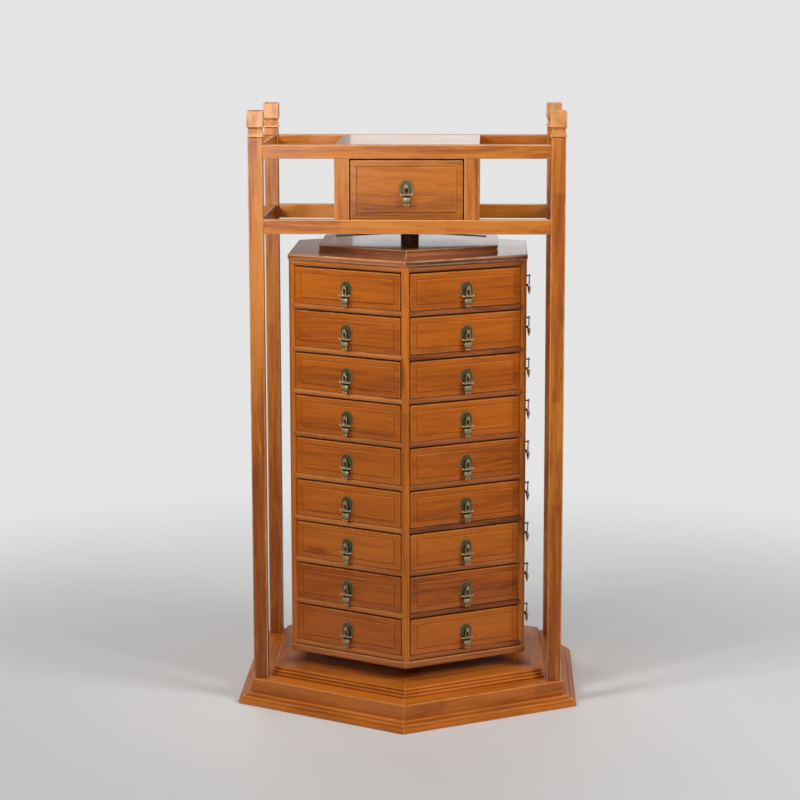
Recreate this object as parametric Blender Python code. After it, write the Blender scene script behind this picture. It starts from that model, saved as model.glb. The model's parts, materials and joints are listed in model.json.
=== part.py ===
"""Revolving medicine cabinet: a hexagonal drum of drawers that turns in a four-post stand with a gallery.

Metres, +Z up. The origin is on the floor under the drum's axis. The gallery drawer and one corner of the
drum face -Y. Everything is stacked and spaced from the driving sizes below.
"""

from math import cos, pi, radians, sin, sqrt, tan

import bmesh
import bpy
from mathutils import Vector

# Clearances
SEAT_GAP = 0.0003
RUNNING_GAP = 0.0006

# Plinth
FOOT_PROJECTION = 0.032
FOOT_LIP = 0.015
MOULDING_RISE = 0.012
MOULDING_QUIRK = 0.006
RISER_HEIGHT = 0.035
RISER_MARGIN = 0.0005
RISER_BOARD = 0.030
DECK_THICKNESS = 0.022
BEARER_WIDTH = 0.090
STEP_SETBACK = 0.008
STEP_HEIGHT = 0.024
REED_COUNT = 3
REED_DEPTH = 0.003

# Drum
DRUM_SIDE = 0.3435
DRUM_LIFT = 0.0345
BASE_OVERHANG = 0.0017
BASE_HEIGHT = 0.0183
ROW_COUNT = 9
ROW_OPENING = 0.0943
RAIL_THICKNESS = 0.014
PARTITION_THICKNESS = 0.012
CORNER_POST_WIDTH = 0.0205
CORNER_POST_DEPTH = 0.028
CORNER_ROUNDING = 0.006
CORE_RADIUS = 0.055
CAP_OVERHANG = 0.0022
CAP_HEIGHT = 0.0145
CAP_EDGE_ROUNDING = 0.004
CAP_STEP_SETBACK = 0.074
CAP_STEP_HEIGHT = 0.018
CAP_STEP_COVE = 0.005

# Pivots
AXLE_RADIUS = 0.023
AXLE_NECK = 0.037
PIN_RADIUS = 0.012
PIN_LENGTH = 0.018

# Drum drawers
FRONT_RECESS = 0.003
FRONT_THICKNESS = 0.016
FRONT_TOP_GAP = 0.0022
FRONT_SIDE_GAP = 0.0012
FIELD_BORDER = 0.0175
FIELD_BEVEL = 0.002
FIELD_RAISE = 0.0015
DRAWER_DEPTH = 0.215
TRAY_INSET = 0.001
TRAY_WALL = 0.008
TRAY_FLOOR = 0.006
TRAY_HEADROOM = 0.022
FRONT_BACKING = 0.001

# Stand
TURN_GAP = 0.0585
POST_SIZE = 0.036
STAND_RAIL_THICKNESS = 0.028
STAND_RAIL_SETBACK = 0.002
LOWER_RAIL_HEIGHT = 0.036
UPPER_RAIL_HEIGHT = 0.034
POST_SHOULDER = 0.018
FINIAL_RING_HEIGHT = 0.0115
FINIAL_NECK_HEIGHT = 0.013
FINIAL_BLOCK_HEIGHT = 0.041
FINIAL_BLOCK_SIZE = 0.038
FINIAL_NECK_SIZE = 0.0295
FINIAL_ROUNDING = 0.006

# Gallery case and its drawer
CASE_OPENING_WIDTH = 0.283
CASE_OPENING_HEIGHT = 0.1495
STILE_WIDTH = 0.037
CASE_BOARD = 0.015
CASE_SIDE_INSET = 0.003
BACK_PANEL = 0.008
PIVOT_BLOCK_SIZE = 0.110
CASE_DRAWER_DEPTH = 0.380
CASE_TRAY_INSET = 0.003
CASE_TRAY_HEADROOM = 0.030

# Pulls
PLATE_WIDTH = 0.033
PLATE_HEIGHT = 0.037
PLATE_THICKNESS = 0.004
PLATE_DOME = 0.004
EYE_WIDTH = 0.009
EYE_HEIGHT = 0.013
EYE_REACH = 0.016
DROP_NECK_WIDTH = 0.007
DROP_WAIST_WIDTH = 0.013
DROP_WIDTH = 0.024
DROP_TIP_WIDTH = 0.007
DROP_THICKNESS = 0.008
DROP_LENGTH = 0.044
DRUM_PULL_LIFT = 0.0025
CASE_PULL_LIFT = 0.007

# Counts of sides on round pieces
ROUND_SIDES = 24
PLATE_SIDES = 8
DROP_SIDES = 6

# Derived turns and ratios of a hexagon with corners on the -Y and +Y axes
HEX_SIDES = 6
HEX_HALF_TURN = pi / HEX_SIDES
CORNER_TURNS = [HEX_HALF_TURN * (2 * k + 1) for k in range(HEX_SIDES)]
HEX_TAN = tan(HEX_HALF_TURN)
HEX_COS = cos(HEX_HALF_TURN)

# Derived sizes of the drum
DRUM_APOTHEM = DRUM_SIDE * HEX_COS
CORNER_HALF = CORNER_POST_WIDTH / 2
PARTITION_HALF = PARTITION_THICKNESS / 2
CAP_APOTHEM = DRUM_APOTHEM + CAP_OVERHANG
ROW_PITCH = ROW_OPENING + RAIL_THICKNESS

# Derived places of the stand's posts, on the corners of a hexagon around the turning drum
POST_CIRCLE = CAP_APOTHEM / HEX_COS + TURN_GAP + POST_SIZE / sqrt(2)
POST_X = POST_CIRCLE * HEX_COS
POST_Y = POST_CIRCLE / 2
POST_HALF = POST_SIZE / 2
RAIL_FACE_X = POST_X + POST_HALF - STAND_RAIL_SETBACK
RAIL_FACE_Y = POST_Y + POST_HALF - STAND_RAIL_SETBACK
RAIL_BACK_X = RAIL_FACE_X - STAND_RAIL_THICKNESS
RAIL_BACK_Y = RAIL_FACE_Y - STAND_RAIL_THICKNESS

# Derived plan of the plinth: the riser takes in the posts, and the step stands inside them
OUTER_X = POST_X + POST_HALF
OUTER_Y = POST_Y + POST_HALF
RISER_APOTHEM = max(OUTER_X, OUTER_X / 2 + OUTER_Y * HEX_COS) + RISER_MARGIN
FOOT_APOTHEM = RISER_APOTHEM + FOOT_PROJECTION
STEP_APOTHEM = POST_X - POST_HALF - STEP_SETBACK

# Derived levels, from the floor up
Z_MOULDING = FOOT_LIP + MOULDING_RISE
Z_LEDGE = Z_MOULDING + RISER_HEIGHT
Z_STEP = Z_LEDGE + STEP_HEIGHT
Z_BASE = Z_STEP + DRUM_LIFT
Z_ROWS = Z_BASE + BASE_HEIGHT
Z_CAP = Z_ROWS + ROW_COUNT * ROW_PITCH + RAIL_THICKNESS
Z_CAP_STEP = Z_CAP + CAP_HEIGHT
Z_CAP_TOP = Z_CAP_STEP + CAP_STEP_HEIGHT
Z_LOWER_RAIL = Z_CAP_TOP + AXLE_NECK
Z_CASE_FLOOR = Z_LOWER_RAIL + LOWER_RAIL_HEIGHT
Z_UPPER_RAIL = Z_CASE_FLOOR + CASE_OPENING_HEIGHT
Z_RAIL_TOP = Z_UPPER_RAIL + UPPER_RAIL_HEIGHT
Z_SHOULDER = Z_RAIL_TOP + POST_SHOULDER
Z_FINIAL_NECK = Z_SHOULDER + FINIAL_RING_HEIGHT
Z_FINIAL_BLOCK = Z_FINIAL_NECK + FINIAL_NECK_HEIGHT
Z_TOP = Z_FINIAL_BLOCK + FINIAL_BLOCK_HEIGHT

# Sides of the drum in order round it, with the direction each one faces in degrees from +X
FACES = {"a": 240.0, "b": 300.0, "c": 0.0, "d": 60.0, "e": 120.0, "f": 180.0}
MODELLED_FACING = -90.0

# Finishes: colour, roughness and metallic value
WOOD = ("lacquered_wood", (0.42, 0.16, 0.045, 1.0), 0.32, 0.0)
BRASS = ("aged_brass", (0.20, 0.14, 0.06, 1.0), 0.42, 0.9)


def clear_scene():
    """Removes every object that the scene starts with."""
    for item in list(bpy.data.objects):
        bpy.data.objects.remove(item)


def make_material(finish):
    """Makes a plain Principled material from a finish, once for each name."""
    name, colour, roughness, metallic = finish
    material = bpy.data.materials.get(name)
    if material is None:
        material = bpy.data.materials.new(name)
        material.use_nodes = True
        shader = material.node_tree.nodes["Principled BSDF"]
        shader.inputs["Base Color"].default_value = colour
        shader.inputs["Roughness"].default_value = roughness
        shader.inputs["Metallic"].default_value = metallic
        material.diffuse_color = colour
    return material


def make_object(name, points, faces, finish=WOOD):
    """Makes an object from points and faces, with its faces turned outwards."""
    mesh = bpy.data.meshes.new(name)
    mesh.from_pydata([tuple(p) for p in points], [], faces)
    shape = bmesh.new()
    shape.from_mesh(mesh)
    bmesh.ops.recalc_face_normals(shape, faces=shape.faces)
    shape.to_mesh(mesh)
    shape.free()
    mesh.materials.append(make_material(finish))
    made = bpy.data.objects.new(name, mesh)
    bpy.context.collection.objects.link(made)
    return made


def loft(name, rings, finish=WOOD):
    """Makes a closed solid through rings of equal counts, with a flat cap on the first and the last."""
    count = len(rings[0])
    points = [p for ring in rings for p in ring]
    faces = [list(range(count))[::-1], [len(points) - count + i for i in range(count)]]
    for level in range(len(rings) - 1):
        low, high = level * count, (level + 1) * count
        for i in range(count):
            j = (i + 1) % count
            faces.append([low + i, low + j, high + j, high + i])
    return make_object(name, points, faces, finish)


def box(name, low, high, finish=WOOD):
    """Makes a box between two corners."""
    plan = [(low[0], low[1]), (high[0], low[1]), (high[0], high[1]), (low[0], high[1])]
    return loft(name, [[(x, y, z) for x, y in plan] for z in (low[2], high[2])], finish)


def extrude(name, plan, low, high, finish=WOOD):
    """Makes an upright prism of a plan outline between two levels."""
    return loft(name, [[(x, y, z) for x, y in plan] for z in (low, high)], finish)


def hexagon(apothem, z):
    """Corners of a hexagon with corners on the -Y and +Y axes."""
    radius = apothem / HEX_COS
    return [(radius * cos(t), radius * sin(t), z) for t in CORNER_TURNS]


def circle(radius, z, sides=ROUND_SIDES):
    """Points of a circle about the axis."""
    turns = [2 * pi * k / sides for k in range(sides)]
    return [(radius * cos(t), radius * sin(t), z) for t in turns]


def square(half, z, centre=(0.0, 0.0)):
    """Corners of a square about an upright line."""
    signs = [(-1, -1), (1, -1), (1, 1), (-1, 1)]
    return [(centre[0] + sx * half, centre[1] + sy * half, z) for sx, sy in signs]


def combine(target, tool, operation):
    """Joins or cuts target with tool, keeps the result as target's mesh and removes the tool."""
    modifier = target.modifiers.new(operation.lower(), "BOOLEAN")
    modifier.operation = operation
    modifier.solver = "EXACT"
    modifier.material_mode = "TRANSFER"
    modifier.object = tool
    bpy.context.view_layer.update()
    evaluated = target.evaluated_get(bpy.context.evaluated_depsgraph_get())
    result = bpy.data.meshes.new_from_object(evaluated)
    target.modifiers.clear()
    result.name = target.name
    target.data = result
    bpy.data.objects.remove(tool)


def join(target, tools):
    """Unites a list of shapes with target, one after the other."""
    for tool in tools:
        combine(target, tool, "UNION")
    return target


def cut(target, tools):
    """Cuts a list of shapes out of target."""
    for tool in tools:
        combine(target, tool, "DIFFERENCE")
    return target


def add_empty(name, parent=None):
    """Adds an empty on the drum's axis to carry a moving group."""
    empty = bpy.data.objects.new(name, None)
    bpy.context.collection.objects.link(empty)
    empty.parent = parent
    return empty


def make_plinth():
    """Stepped hexagonal base with a moulded foot, a reeded inner step and a socket for the lower pin.

    It is hollow under its deck, but for a bearer across the middle that carries the pin.
    """
    rings = [
        hexagon(FOOT_APOTHEM, 0.0),
        hexagon(FOOT_APOTHEM, FOOT_LIP),
        hexagon(RISER_APOTHEM + MOULDING_QUIRK, Z_MOULDING),
        hexagon(RISER_APOTHEM, Z_MOULDING),
        hexagon(RISER_APOTHEM, Z_LEDGE),
        hexagon(STEP_APOTHEM, Z_LEDGE),
    ]
    reed = STEP_HEIGHT / REED_COUNT
    for k in range(REED_COUNT):
        setback = k * REED_DEPTH
        rings.append(hexagon(STEP_APOTHEM - setback, Z_LEDGE + (k + 1) * reed))
        if k < REED_COUNT - 1:
            rings.append(hexagon(STEP_APOTHEM - setback - REED_DEPTH, Z_LEDGE + (k + 1) * reed))
    plinth = loft("plinth", rings)
    socket_floor = Z_STEP - PIN_LENGTH - SEAT_GAP
    above = Z_STEP + PIN_LENGTH
    socket = loft("socket", [circle(PIN_RADIUS + RUNNING_GAP, z) for z in (socket_floor, above)])
    inside = RISER_APOTHEM - RISER_BOARD
    ceiling = Z_LEDGE - DECK_THICKNESS
    hollow = loft("hollow", [hexagon(inside, z) for z in (-DECK_THICKNESS, ceiling)])
    half = BEARER_WIDTH / 2
    bearer = box("bearer", (-FOOT_APOTHEM, -half, -Z_LEDGE), (FOOT_APOTHEM, half, Z_LEDGE))
    cut(hollow, [bearer])
    return cut(plinth, [socket, hollow])


def make_post(name, centre):
    """Square post with a finial: a ring, a waisted neck and a block with a rounded top."""
    block = FINIAL_BLOCK_SIZE / 2
    neck = FINIAL_NECK_SIZE / 2
    ring_mid = Z_SHOULDER + FINIAL_RING_HEIGHT / 2
    neck_mid = Z_FINIAL_NECK + FINIAL_NECK_HEIGHT / 2
    sections = [
        (POST_HALF, Z_LEDGE + SEAT_GAP),
        (POST_HALF, Z_SHOULDER),
        (block, ring_mid),
        (block, Z_FINIAL_NECK),
        (neck, neck_mid),
        (block, Z_FINIAL_BLOCK),
        (block, Z_TOP - FINIAL_ROUNDING),
        (block - FINIAL_ROUNDING / 3, Z_TOP - FINIAL_ROUNDING / 3),
        (block - FINIAL_ROUNDING, Z_TOP),
    ]
    return loft(name, [square(half, z, centre) for half, z in sections])


def make_stand_frame():
    """Four posts with finials, joined by upper and lower rails on all four sides."""
    corners = [(sx * POST_X, sy * POST_Y) for sx in (-1, 1) for sy in (-1, 1)]
    posts = [make_post(f"post_{i}", corner) for i, corner in enumerate(corners)]
    rails = []
    for low, high in ((Z_LOWER_RAIL, Z_CASE_FLOOR), (Z_UPPER_RAIL, Z_RAIL_TOP)):
        for side in (-1, 1):
            y_low, y_high = sorted((side * RAIL_BACK_Y, side * RAIL_FACE_Y))
            rails.append(box("rail", (-POST_X, y_low, low), (POST_X, y_high, high)))
            x_low, x_high = sorted((side * RAIL_BACK_X, side * RAIL_FACE_X))
            rails.append(box("rail", (x_low, -POST_Y, low), (x_high, POST_Y, high)))
    frame = posts[0]
    frame.name = "stand_frame"
    return join(frame, rails + posts[1:])


def make_gallery_case():
    """Case of the gallery drawer: stiles, boards, back panel, and the block that takes the upper pin."""
    opening = CASE_OPENING_WIDTH / 2
    outer = opening + STILE_WIDTH
    between = RAIL_BACK_Y - SEAT_GAP
    low, high = Z_CASE_FLOOR + SEAT_GAP, Z_UPPER_RAIL - SEAT_GAP
    stile_middle = (RAIL_FACE_Y + RAIL_BACK_Y) / 2
    board_low = Z_CASE_FLOOR - CASE_BOARD
    case = box("gallery_case", (-outer, -between, board_low), (outer, between, Z_CASE_FLOOR))
    pieces = [box("top_board", (-outer, -between, Z_RAIL_TOP - CASE_BOARD), (outer, between, Z_RAIL_TOP))]
    for side in (-1, 1):
        inner_x = opening + CASE_SIDE_INSET
        x_low, x_high = sorted((side * inner_x, side * (inner_x + CASE_BOARD)))
        inside_boards = ((x_low, -between, board_low), (x_high, between, Z_RAIL_TOP))
        pieces.append(box("side_board", *inside_boards))
        pieces.append(box("side_board", (x_low, -stile_middle, low), (x_high, stile_middle, high)))
        x_low, x_high = sorted((side * opening, side * outer))
        for end in (-1, 1):
            y_low, y_high = sorted((end * RAIL_BACK_Y, end * RAIL_FACE_Y))
            pieces.append(box("stile", (x_low, y_low, low), (x_high, y_high, high)))
    reach = opening + CASE_SIDE_INSET + CASE_BOARD / 2
    panel_y = stile_middle - BACK_PANEL / 2
    pieces.append(box("back_panel", (-reach, panel_y, low), (reach, panel_y + BACK_PANEL, high)))
    half = PIVOT_BLOCK_SIZE / 2
    block_top = Z_CASE_FLOOR - CASE_BOARD / 2
    pieces.append(box("pivot_block", (-half, -half, Z_LOWER_RAIL), (half, half, block_top)))
    join(case, pieces)
    hole_top = Z_LOWER_RAIL + PIN_LENGTH + SEAT_GAP
    hole = [circle(PIN_RADIUS + RUNNING_GAP, z) for z in (Z_LOWER_RAIL - PIN_LENGTH, hole_top)]
    return cut(case, [loft("pin_hole", hole)])


def place_at_corner(point, turn):
    """Turns an (outward, sideways) point of a corner to the direction of that corner."""
    outward, sideways = point
    return (outward * cos(turn) - sideways * sin(turn), outward * sin(turn) + sideways * cos(turn))


def around_corners(outline):
    """Repeats an outline, given as (outward, sideways) points of one corner, round the six corners."""
    return [place_at_corner(point, turn) for turn in CORNER_TURNS for point in outline]


def slotted_plan():
    """Plan of a board of the drum: a hexagon with a slot at each corner for a partition and its post."""
    post = CORNER_HALF + SEAT_GAP
    wall = PARTITION_HALF + SEAT_GAP
    edge = DRUM_SIDE - post * HEX_TAN
    notch = DRUM_SIDE - CORNER_POST_DEPTH - SEAT_GAP
    foot = CORE_RADIUS
    half = [(edge, post), (notch, post), (notch, wall), (foot, wall)]
    return around_corners([(r, -s) for r, s in half] + half[::-1])


def partition_plan(turn):
    """Plan of one radial partition with the rounded corner post at its outer edge."""
    edge = DRUM_SIDE - CORNER_HALF * HEX_TAN
    back = DRUM_SIDE - CORNER_POST_DEPTH
    tangent = CORNER_ROUNDING * HEX_TAN
    nose_side = tangent * HEX_COS
    nose_edge = DRUM_SIDE - tangent / 2
    nose_top = DRUM_SIDE - CORNER_ROUNDING * (1 / HEX_COS - 1)
    half = [
        (CORE_RADIUS + SEAT_GAP, PARTITION_HALF),
        (back, PARTITION_HALF),
        (back, CORNER_HALF),
        (edge, CORNER_HALF),
        (nose_edge, nose_side),
    ]
    outline = [(r, -s) for r, s in half] + [(nose_top, 0.0)] + half[::-1]
    return [place_at_corner(point, turn) for point in outline]


def make_drum_shelves():
    """Central post with its pins, base slab and the boards between the rows."""
    neck_top = Z_LOWER_RAIL - SEAT_GAP
    core_top = Z_CAP - SEAT_GAP
    core = loft(
        "drum_shelves",
        [
            circle(PIN_RADIUS, Z_STEP - PIN_LENGTH),
            circle(PIN_RADIUS, Z_STEP + SEAT_GAP),
            circle(AXLE_RADIUS, Z_STEP + SEAT_GAP),
            circle(AXLE_RADIUS, Z_BASE),
            circle(CORE_RADIUS, Z_BASE),
            circle(CORE_RADIUS, core_top),
            circle(AXLE_RADIUS, core_top),
            circle(AXLE_RADIUS, neck_top),
            circle(PIN_RADIUS, neck_top),
            circle(PIN_RADIUS, Z_LOWER_RAIL + PIN_LENGTH),
        ],
    )
    base_apothem = DRUM_APOTHEM + BASE_OVERHANG
    boards = [loft("base_slab", [hexagon(base_apothem, z) for z in (Z_BASE, Z_ROWS)])]
    plan = slotted_plan()
    for row in range(ROW_COUNT + 1):
        low = Z_ROWS + row * ROW_PITCH
        high = low + RAIL_THICKNESS
        if row == 0:
            low -= BASE_HEIGHT / 2
        if row == ROW_COUNT:
            high -= SEAT_GAP
        boards.append(extrude("board", plan, low, high))
    return join(core, boards)


def make_drum_partitions():
    """Six radial partitions with corner posts, hung from the stepped cap that closes the drum."""
    step = CAP_APOTHEM - CAP_STEP_SETBACK
    rounding = CAP_EDGE_ROUNDING
    cap = loft(
        "drum_partitions",
        [
            hexagon(CAP_APOTHEM - rounding, Z_CAP),
            hexagon(CAP_APOTHEM, Z_CAP + rounding),
            hexagon(CAP_APOTHEM, Z_CAP_STEP - rounding),
            hexagon(CAP_APOTHEM - rounding, Z_CAP_STEP),
            hexagon(step, Z_CAP_STEP),
            hexagon(step - CAP_STEP_COVE, Z_CAP_STEP + CAP_STEP_HEIGHT / 2),
            hexagon(step, Z_CAP_TOP - CAP_STEP_HEIGHT / 4),
            hexagon(step - CAP_STEP_COVE / 2, Z_CAP_TOP),
        ],
    )
    hole = [circle(AXLE_RADIUS + RUNNING_GAP, z) for z in (Z_CAP - AXLE_NECK, Z_CAP_TOP + AXLE_NECK)]
    cut(cap, [loft("axle_hole", hole)])
    low, high = Z_ROWS + SEAT_GAP, Z_CAP + CAP_HEIGHT / 2
    walls = [extrude("partition", partition_plan(turn), low, high) for turn in CORNER_TURNS]
    return join(cap, walls)


def half_width(distance, inset):
    """Half the width of a sector at a distance from the axis, with its sides set in."""
    return distance * HEX_TAN - inset / HEX_COS


def make_front(name, outline, face_y, low, high):
    """Drawer front with a raised field.

    The outline gives its half widths at the face and at the back, and the back's y.
    """
    half_face, half_back, back_y = outline
    border, bevel = FIELD_BORDER, FIELD_BORDER + FIELD_BEVEL
    field_y = face_y - FIELD_RAISE
    rings = [
        (half_back, 0.0, back_y),
        (half_face, 0.0, face_y),
        (half_face - border, border, face_y),
        (half_face - bevel, bevel, field_y),
    ]
    loops = []
    for half, inset, y in rings:
        bottom, top = low + inset, high - inset
        loops.append([(-half, y, bottom), (half, y, bottom), (half, y, top), (-half, y, top)])
    return loft(name, loops)


def make_pull(face_y, centre_z):
    """Pull on a drawer front: a domed plate, an eye that stands out of it and a drop hung from the eye."""
    turns = [2 * pi * (k + 0.5) / PLATE_SIDES for k in range(PLATE_SIDES)]
    half_w, half_h = PLATE_WIDTH / 2, PLATE_HEIGHT / 2
    levels = ((0.0, SEAT_GAP), (0.0, -PLATE_THICKNESS / 2), (PLATE_DOME, -PLATE_THICKNESS))
    rings = []
    for inset, depth in levels:
        points = [((half_w - inset) * cos(t), (half_h - inset) * sin(t)) for t in turns]
        rings.append([(x, face_y + depth, centre_z + z) for x, z in points])
    plate = loft("plate", rings, BRASS)
    eye_low = (-EYE_WIDTH / 2, face_y - EYE_REACH, centre_z - EYE_HEIGHT / 2)
    eye_high = (EYE_WIDTH / 2, face_y - PLATE_THICKNESS / 2, centre_z + EYE_HEIGHT / 2)
    eye = box("eye", eye_low, eye_high, BRASS)
    drop_y = face_y - EYE_REACH + DROP_THICKNESS / 2 + RUNNING_GAP
    bottom = centre_z - DROP_LENGTH
    profile = (
        (DROP_NECK_WIDTH, centre_z - EYE_HEIGHT / 4),
        (DROP_WAIST_WIDTH, centre_z - PLATE_HEIGHT / 2),
        (DROP_WIDTH, bottom + DROP_LENGTH / 3),
        (DROP_TIP_WIDTH, bottom),
    )
    turns = [2 * pi * k / DROP_SIDES for k in range(DROP_SIDES)]
    half_y = DROP_THICKNESS / 2
    drop = []
    for width, z in profile:
        half_x = width / 2
        drop.append([(half_x * cos(t), drop_y + half_y * sin(t), z) for t in turns])
    return join(plate, [eye, loft("drop", drop, BRASS)])


def make_drum_drawer_mesh():
    """Tapered drawer of the drum, its floor level with z = 0 and its face towards -Y from the axis."""
    face = DRUM_APOTHEM - FRONT_RECESS
    back = face - FRONT_THICKNESS
    end = face - DRAWER_DEPTH
    low, high = SEAT_GAP, ROW_OPENING - FRONT_TOP_GAP
    side = CORNER_HALF + FRONT_SIDE_GAP
    outline = (half_width(face, side), half_width(back, side), -back)
    drawer = make_front("drawer", outline, -face, low, high)
    tray_side = side + TRAY_INSET
    tray_top = ROW_OPENING - TRAY_HEADROOM
    buried = back + FRONT_THICKNESS / 2

    def plan(near, far, inset):
        near_half, far_half = half_width(near, inset), half_width(far, inset)
        return [(-near_half, -near), (near_half, -near), (far_half, -far), (-far_half, -far)]

    tray = extrude("tray", plan(buried, end, tray_side), low, tray_top)
    hollow_plan = plan(back - FRONT_BACKING, end + TRAY_WALL, tray_side + TRAY_WALL)
    hollow = extrude("hollow", hollow_plan, low + TRAY_FLOOR, tray_top + TRAY_HEADROOM)
    join(drawer, [tray])
    cut(drawer, [hollow])
    join(drawer, [make_pull(-face - FIELD_RAISE, (low + high) / 2 + DRUM_PULL_LIFT)])
    mesh = drawer.data
    bpy.data.objects.remove(drawer)
    return mesh


def make_case_drawer():
    """Drawer of the gallery case."""
    face_y = -RAIL_FACE_Y + FRONT_RECESS
    back_y = face_y + FRONT_THICKNESS
    end_y = face_y + CASE_DRAWER_DEPTH
    half = CASE_OPENING_WIDTH / 2 - FRONT_SIDE_GAP
    low, high = Z_CASE_FLOOR + SEAT_GAP, Z_UPPER_RAIL - FRONT_TOP_GAP
    drawer = make_front("case_drawer", (half, half, back_y), face_y, low, high)
    tray_half = half - CASE_TRAY_INSET
    tray_top = Z_UPPER_RAIL - CASE_TRAY_HEADROOM
    tray_front = back_y - FRONT_THICKNESS / 2
    tray = box("tray", (-tray_half, tray_front, low), (tray_half, end_y, tray_top))
    inner = tray_half - TRAY_WALL
    hollow_low = (-inner, back_y + FRONT_BACKING, low + TRAY_FLOOR)
    hollow_high = (inner, end_y - TRAY_WALL, tray_top + CASE_TRAY_HEADROOM)
    join(drawer, [tray])
    cut(drawer, [box("hollow", hollow_low, hollow_high)])
    return join(drawer, [make_pull(face_y - FIELD_RAISE, (low + high) / 2 + CASE_PULL_LIFT)])


def place_drum_drawers(drum):
    """Puts a drawer in every opening of the drum, row 1 at the top, each on its own side."""
    mesh = make_drum_drawer_mesh()
    for face, direction in FACES.items():
        for row in range(1, ROW_COUNT + 1):
            drawer = bpy.data.objects.new(f"drawer_{face}{row}", mesh)
            bpy.context.collection.objects.link(drawer)
            floor = Z_ROWS + RAIL_THICKNESS + (ROW_COUNT - row) * ROW_PITCH
            drawer.location = Vector((0.0, 0.0, floor))
            drawer.rotation_euler = (0.0, 0.0, radians(direction - MODELLED_FACING))
            drawer.parent = drum


def main():
    """Builds the stand, the drum and every drawer."""
    clear_scene()
    stand = add_empty("stand")
    for piece in (make_plinth(), make_stand_frame(), make_gallery_case()):
        piece.parent = stand
    make_case_drawer().parent = stand
    drum = add_empty("drum", stand)
    for piece in (make_drum_shelves(), make_drum_partitions()):
        piece.parent = drum
    place_drum_drawers(drum)
    bpy.context.view_layer.update()


main()
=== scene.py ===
"""Looks of a revolving medicine cabinet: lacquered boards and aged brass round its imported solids.

Metres, +Z up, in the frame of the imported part. Every board is modelled lying along X, the way its grain
runs, and then put in its place, so the figure of the wood follows each board. Shapes on the drum are
modelled facing -Y and turned to their side.
"""

import json
import logging
import math
import random
from collections.abc import Callable, Sequence
from dataclasses import dataclass, replace
from enum import Enum
from typing import ClassVar

import bmesh
import bpy
from mathutils import Matrix, Vector

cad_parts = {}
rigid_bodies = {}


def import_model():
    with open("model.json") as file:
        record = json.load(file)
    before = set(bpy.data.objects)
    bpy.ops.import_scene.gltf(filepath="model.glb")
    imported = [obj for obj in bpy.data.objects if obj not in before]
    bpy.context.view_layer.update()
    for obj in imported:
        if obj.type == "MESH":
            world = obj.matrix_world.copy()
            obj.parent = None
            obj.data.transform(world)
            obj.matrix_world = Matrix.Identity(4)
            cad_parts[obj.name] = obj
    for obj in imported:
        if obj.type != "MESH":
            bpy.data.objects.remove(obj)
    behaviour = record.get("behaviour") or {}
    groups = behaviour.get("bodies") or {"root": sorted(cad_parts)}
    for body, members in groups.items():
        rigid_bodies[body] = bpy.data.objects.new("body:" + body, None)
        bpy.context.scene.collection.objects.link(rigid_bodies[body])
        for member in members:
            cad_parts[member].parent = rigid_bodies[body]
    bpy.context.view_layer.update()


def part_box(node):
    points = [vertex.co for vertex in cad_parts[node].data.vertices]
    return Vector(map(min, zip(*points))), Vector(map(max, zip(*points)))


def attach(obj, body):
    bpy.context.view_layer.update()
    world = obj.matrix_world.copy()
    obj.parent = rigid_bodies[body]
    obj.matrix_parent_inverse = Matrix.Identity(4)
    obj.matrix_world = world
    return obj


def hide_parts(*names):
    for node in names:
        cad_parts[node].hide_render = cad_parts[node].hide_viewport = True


LOG = logging.getLogger("medicine_cabinet")

GRAIN = "grain"
TONE = "tone"
# Face attribute: above 0 wear, which also paints highlights; below 0 painted shade, and patina on a pull's
# rim
WEAR_AND_LIGHT = "wear"
SHIFT = "shift"
GRAIN_SPREAD = 40.0
ARC_STEPS = 4
REED_STEPS = 8
ROUND_SIDES = 40
SMOOTH_ANGLE = math.radians(40.0)
# Roundings narrower than this get wear, which also paints the highlight lines along arrises.
RUBBED_AND_HIGHLIGHT_RADIUS = 0.004
# Painted shade in the grooves of reeds and under each finial's neck.
GROOVE_SHADE = -0.5
# Crests of reeds: wear, and painted highlight lines.
REED_WEAR_AND_HIGHLIGHT = 0.55
# Bands at the mitres: wear, and painted glints at the corners.
CORNER_WEAR_AND_GLINT = 1.0
CORNER_BAND = 0.0016
# Full wear and painted highlight, for the pull's beads and the head of its pin.
FULL_WEAR_AND_HIGHLIGHT = 1.0
# Full painted shade, for the pull's dark ovals and the hole in its pin.
FULL_SHADE = -1.0
# Power of the painted shade that darkens a solid towards X = 0.
FOOT_SHADE_POWER = 3
MEAN_DRAW = 0.5
AXIS_COUNT = 3
MATRIX_SIZE = 4
SEAT_GAP = 0.0003
MITRE_GAP = 0.00012

HEX_SIDES = 6
HEX_TURN = 2 * math.pi / HEX_SIDES
HEX_TAN = math.tan(HEX_TURN / 2)
HEX_COS = math.cos(HEX_TURN / 2)

# Numbers of node sockets that share a name with others
MIX_FACTOR, MIX_A, MIX_B, MIX_RESULT = 0, 6, 7, 2
COMPARE_FIRST, COMPARE_SECOND = 2, 3
RANDOM_VECTOR, RANDOM_FLOAT = 0, 1

X_AXIS = Vector((1.0, 0.0, 0.0))
Y_AXIS = Vector((0.0, 1.0, 0.0))
Z_AXIS = Vector((0.0, 0.0, 1.0))

Colour = tuple[float, float, float]
Triple = tuple[float, float, float]
Point2 = tuple[float, float]
Corner = tuple[float, float, float]
EndCut = Callable[[float, float], float]
Material = bpy.types.Material
Piece = bpy.types.Object
Outputs = bpy.types.NodeSocketCollection
Socket = bpy.types.NodeSocket
Tree = bpy.types.NodeTree


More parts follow.
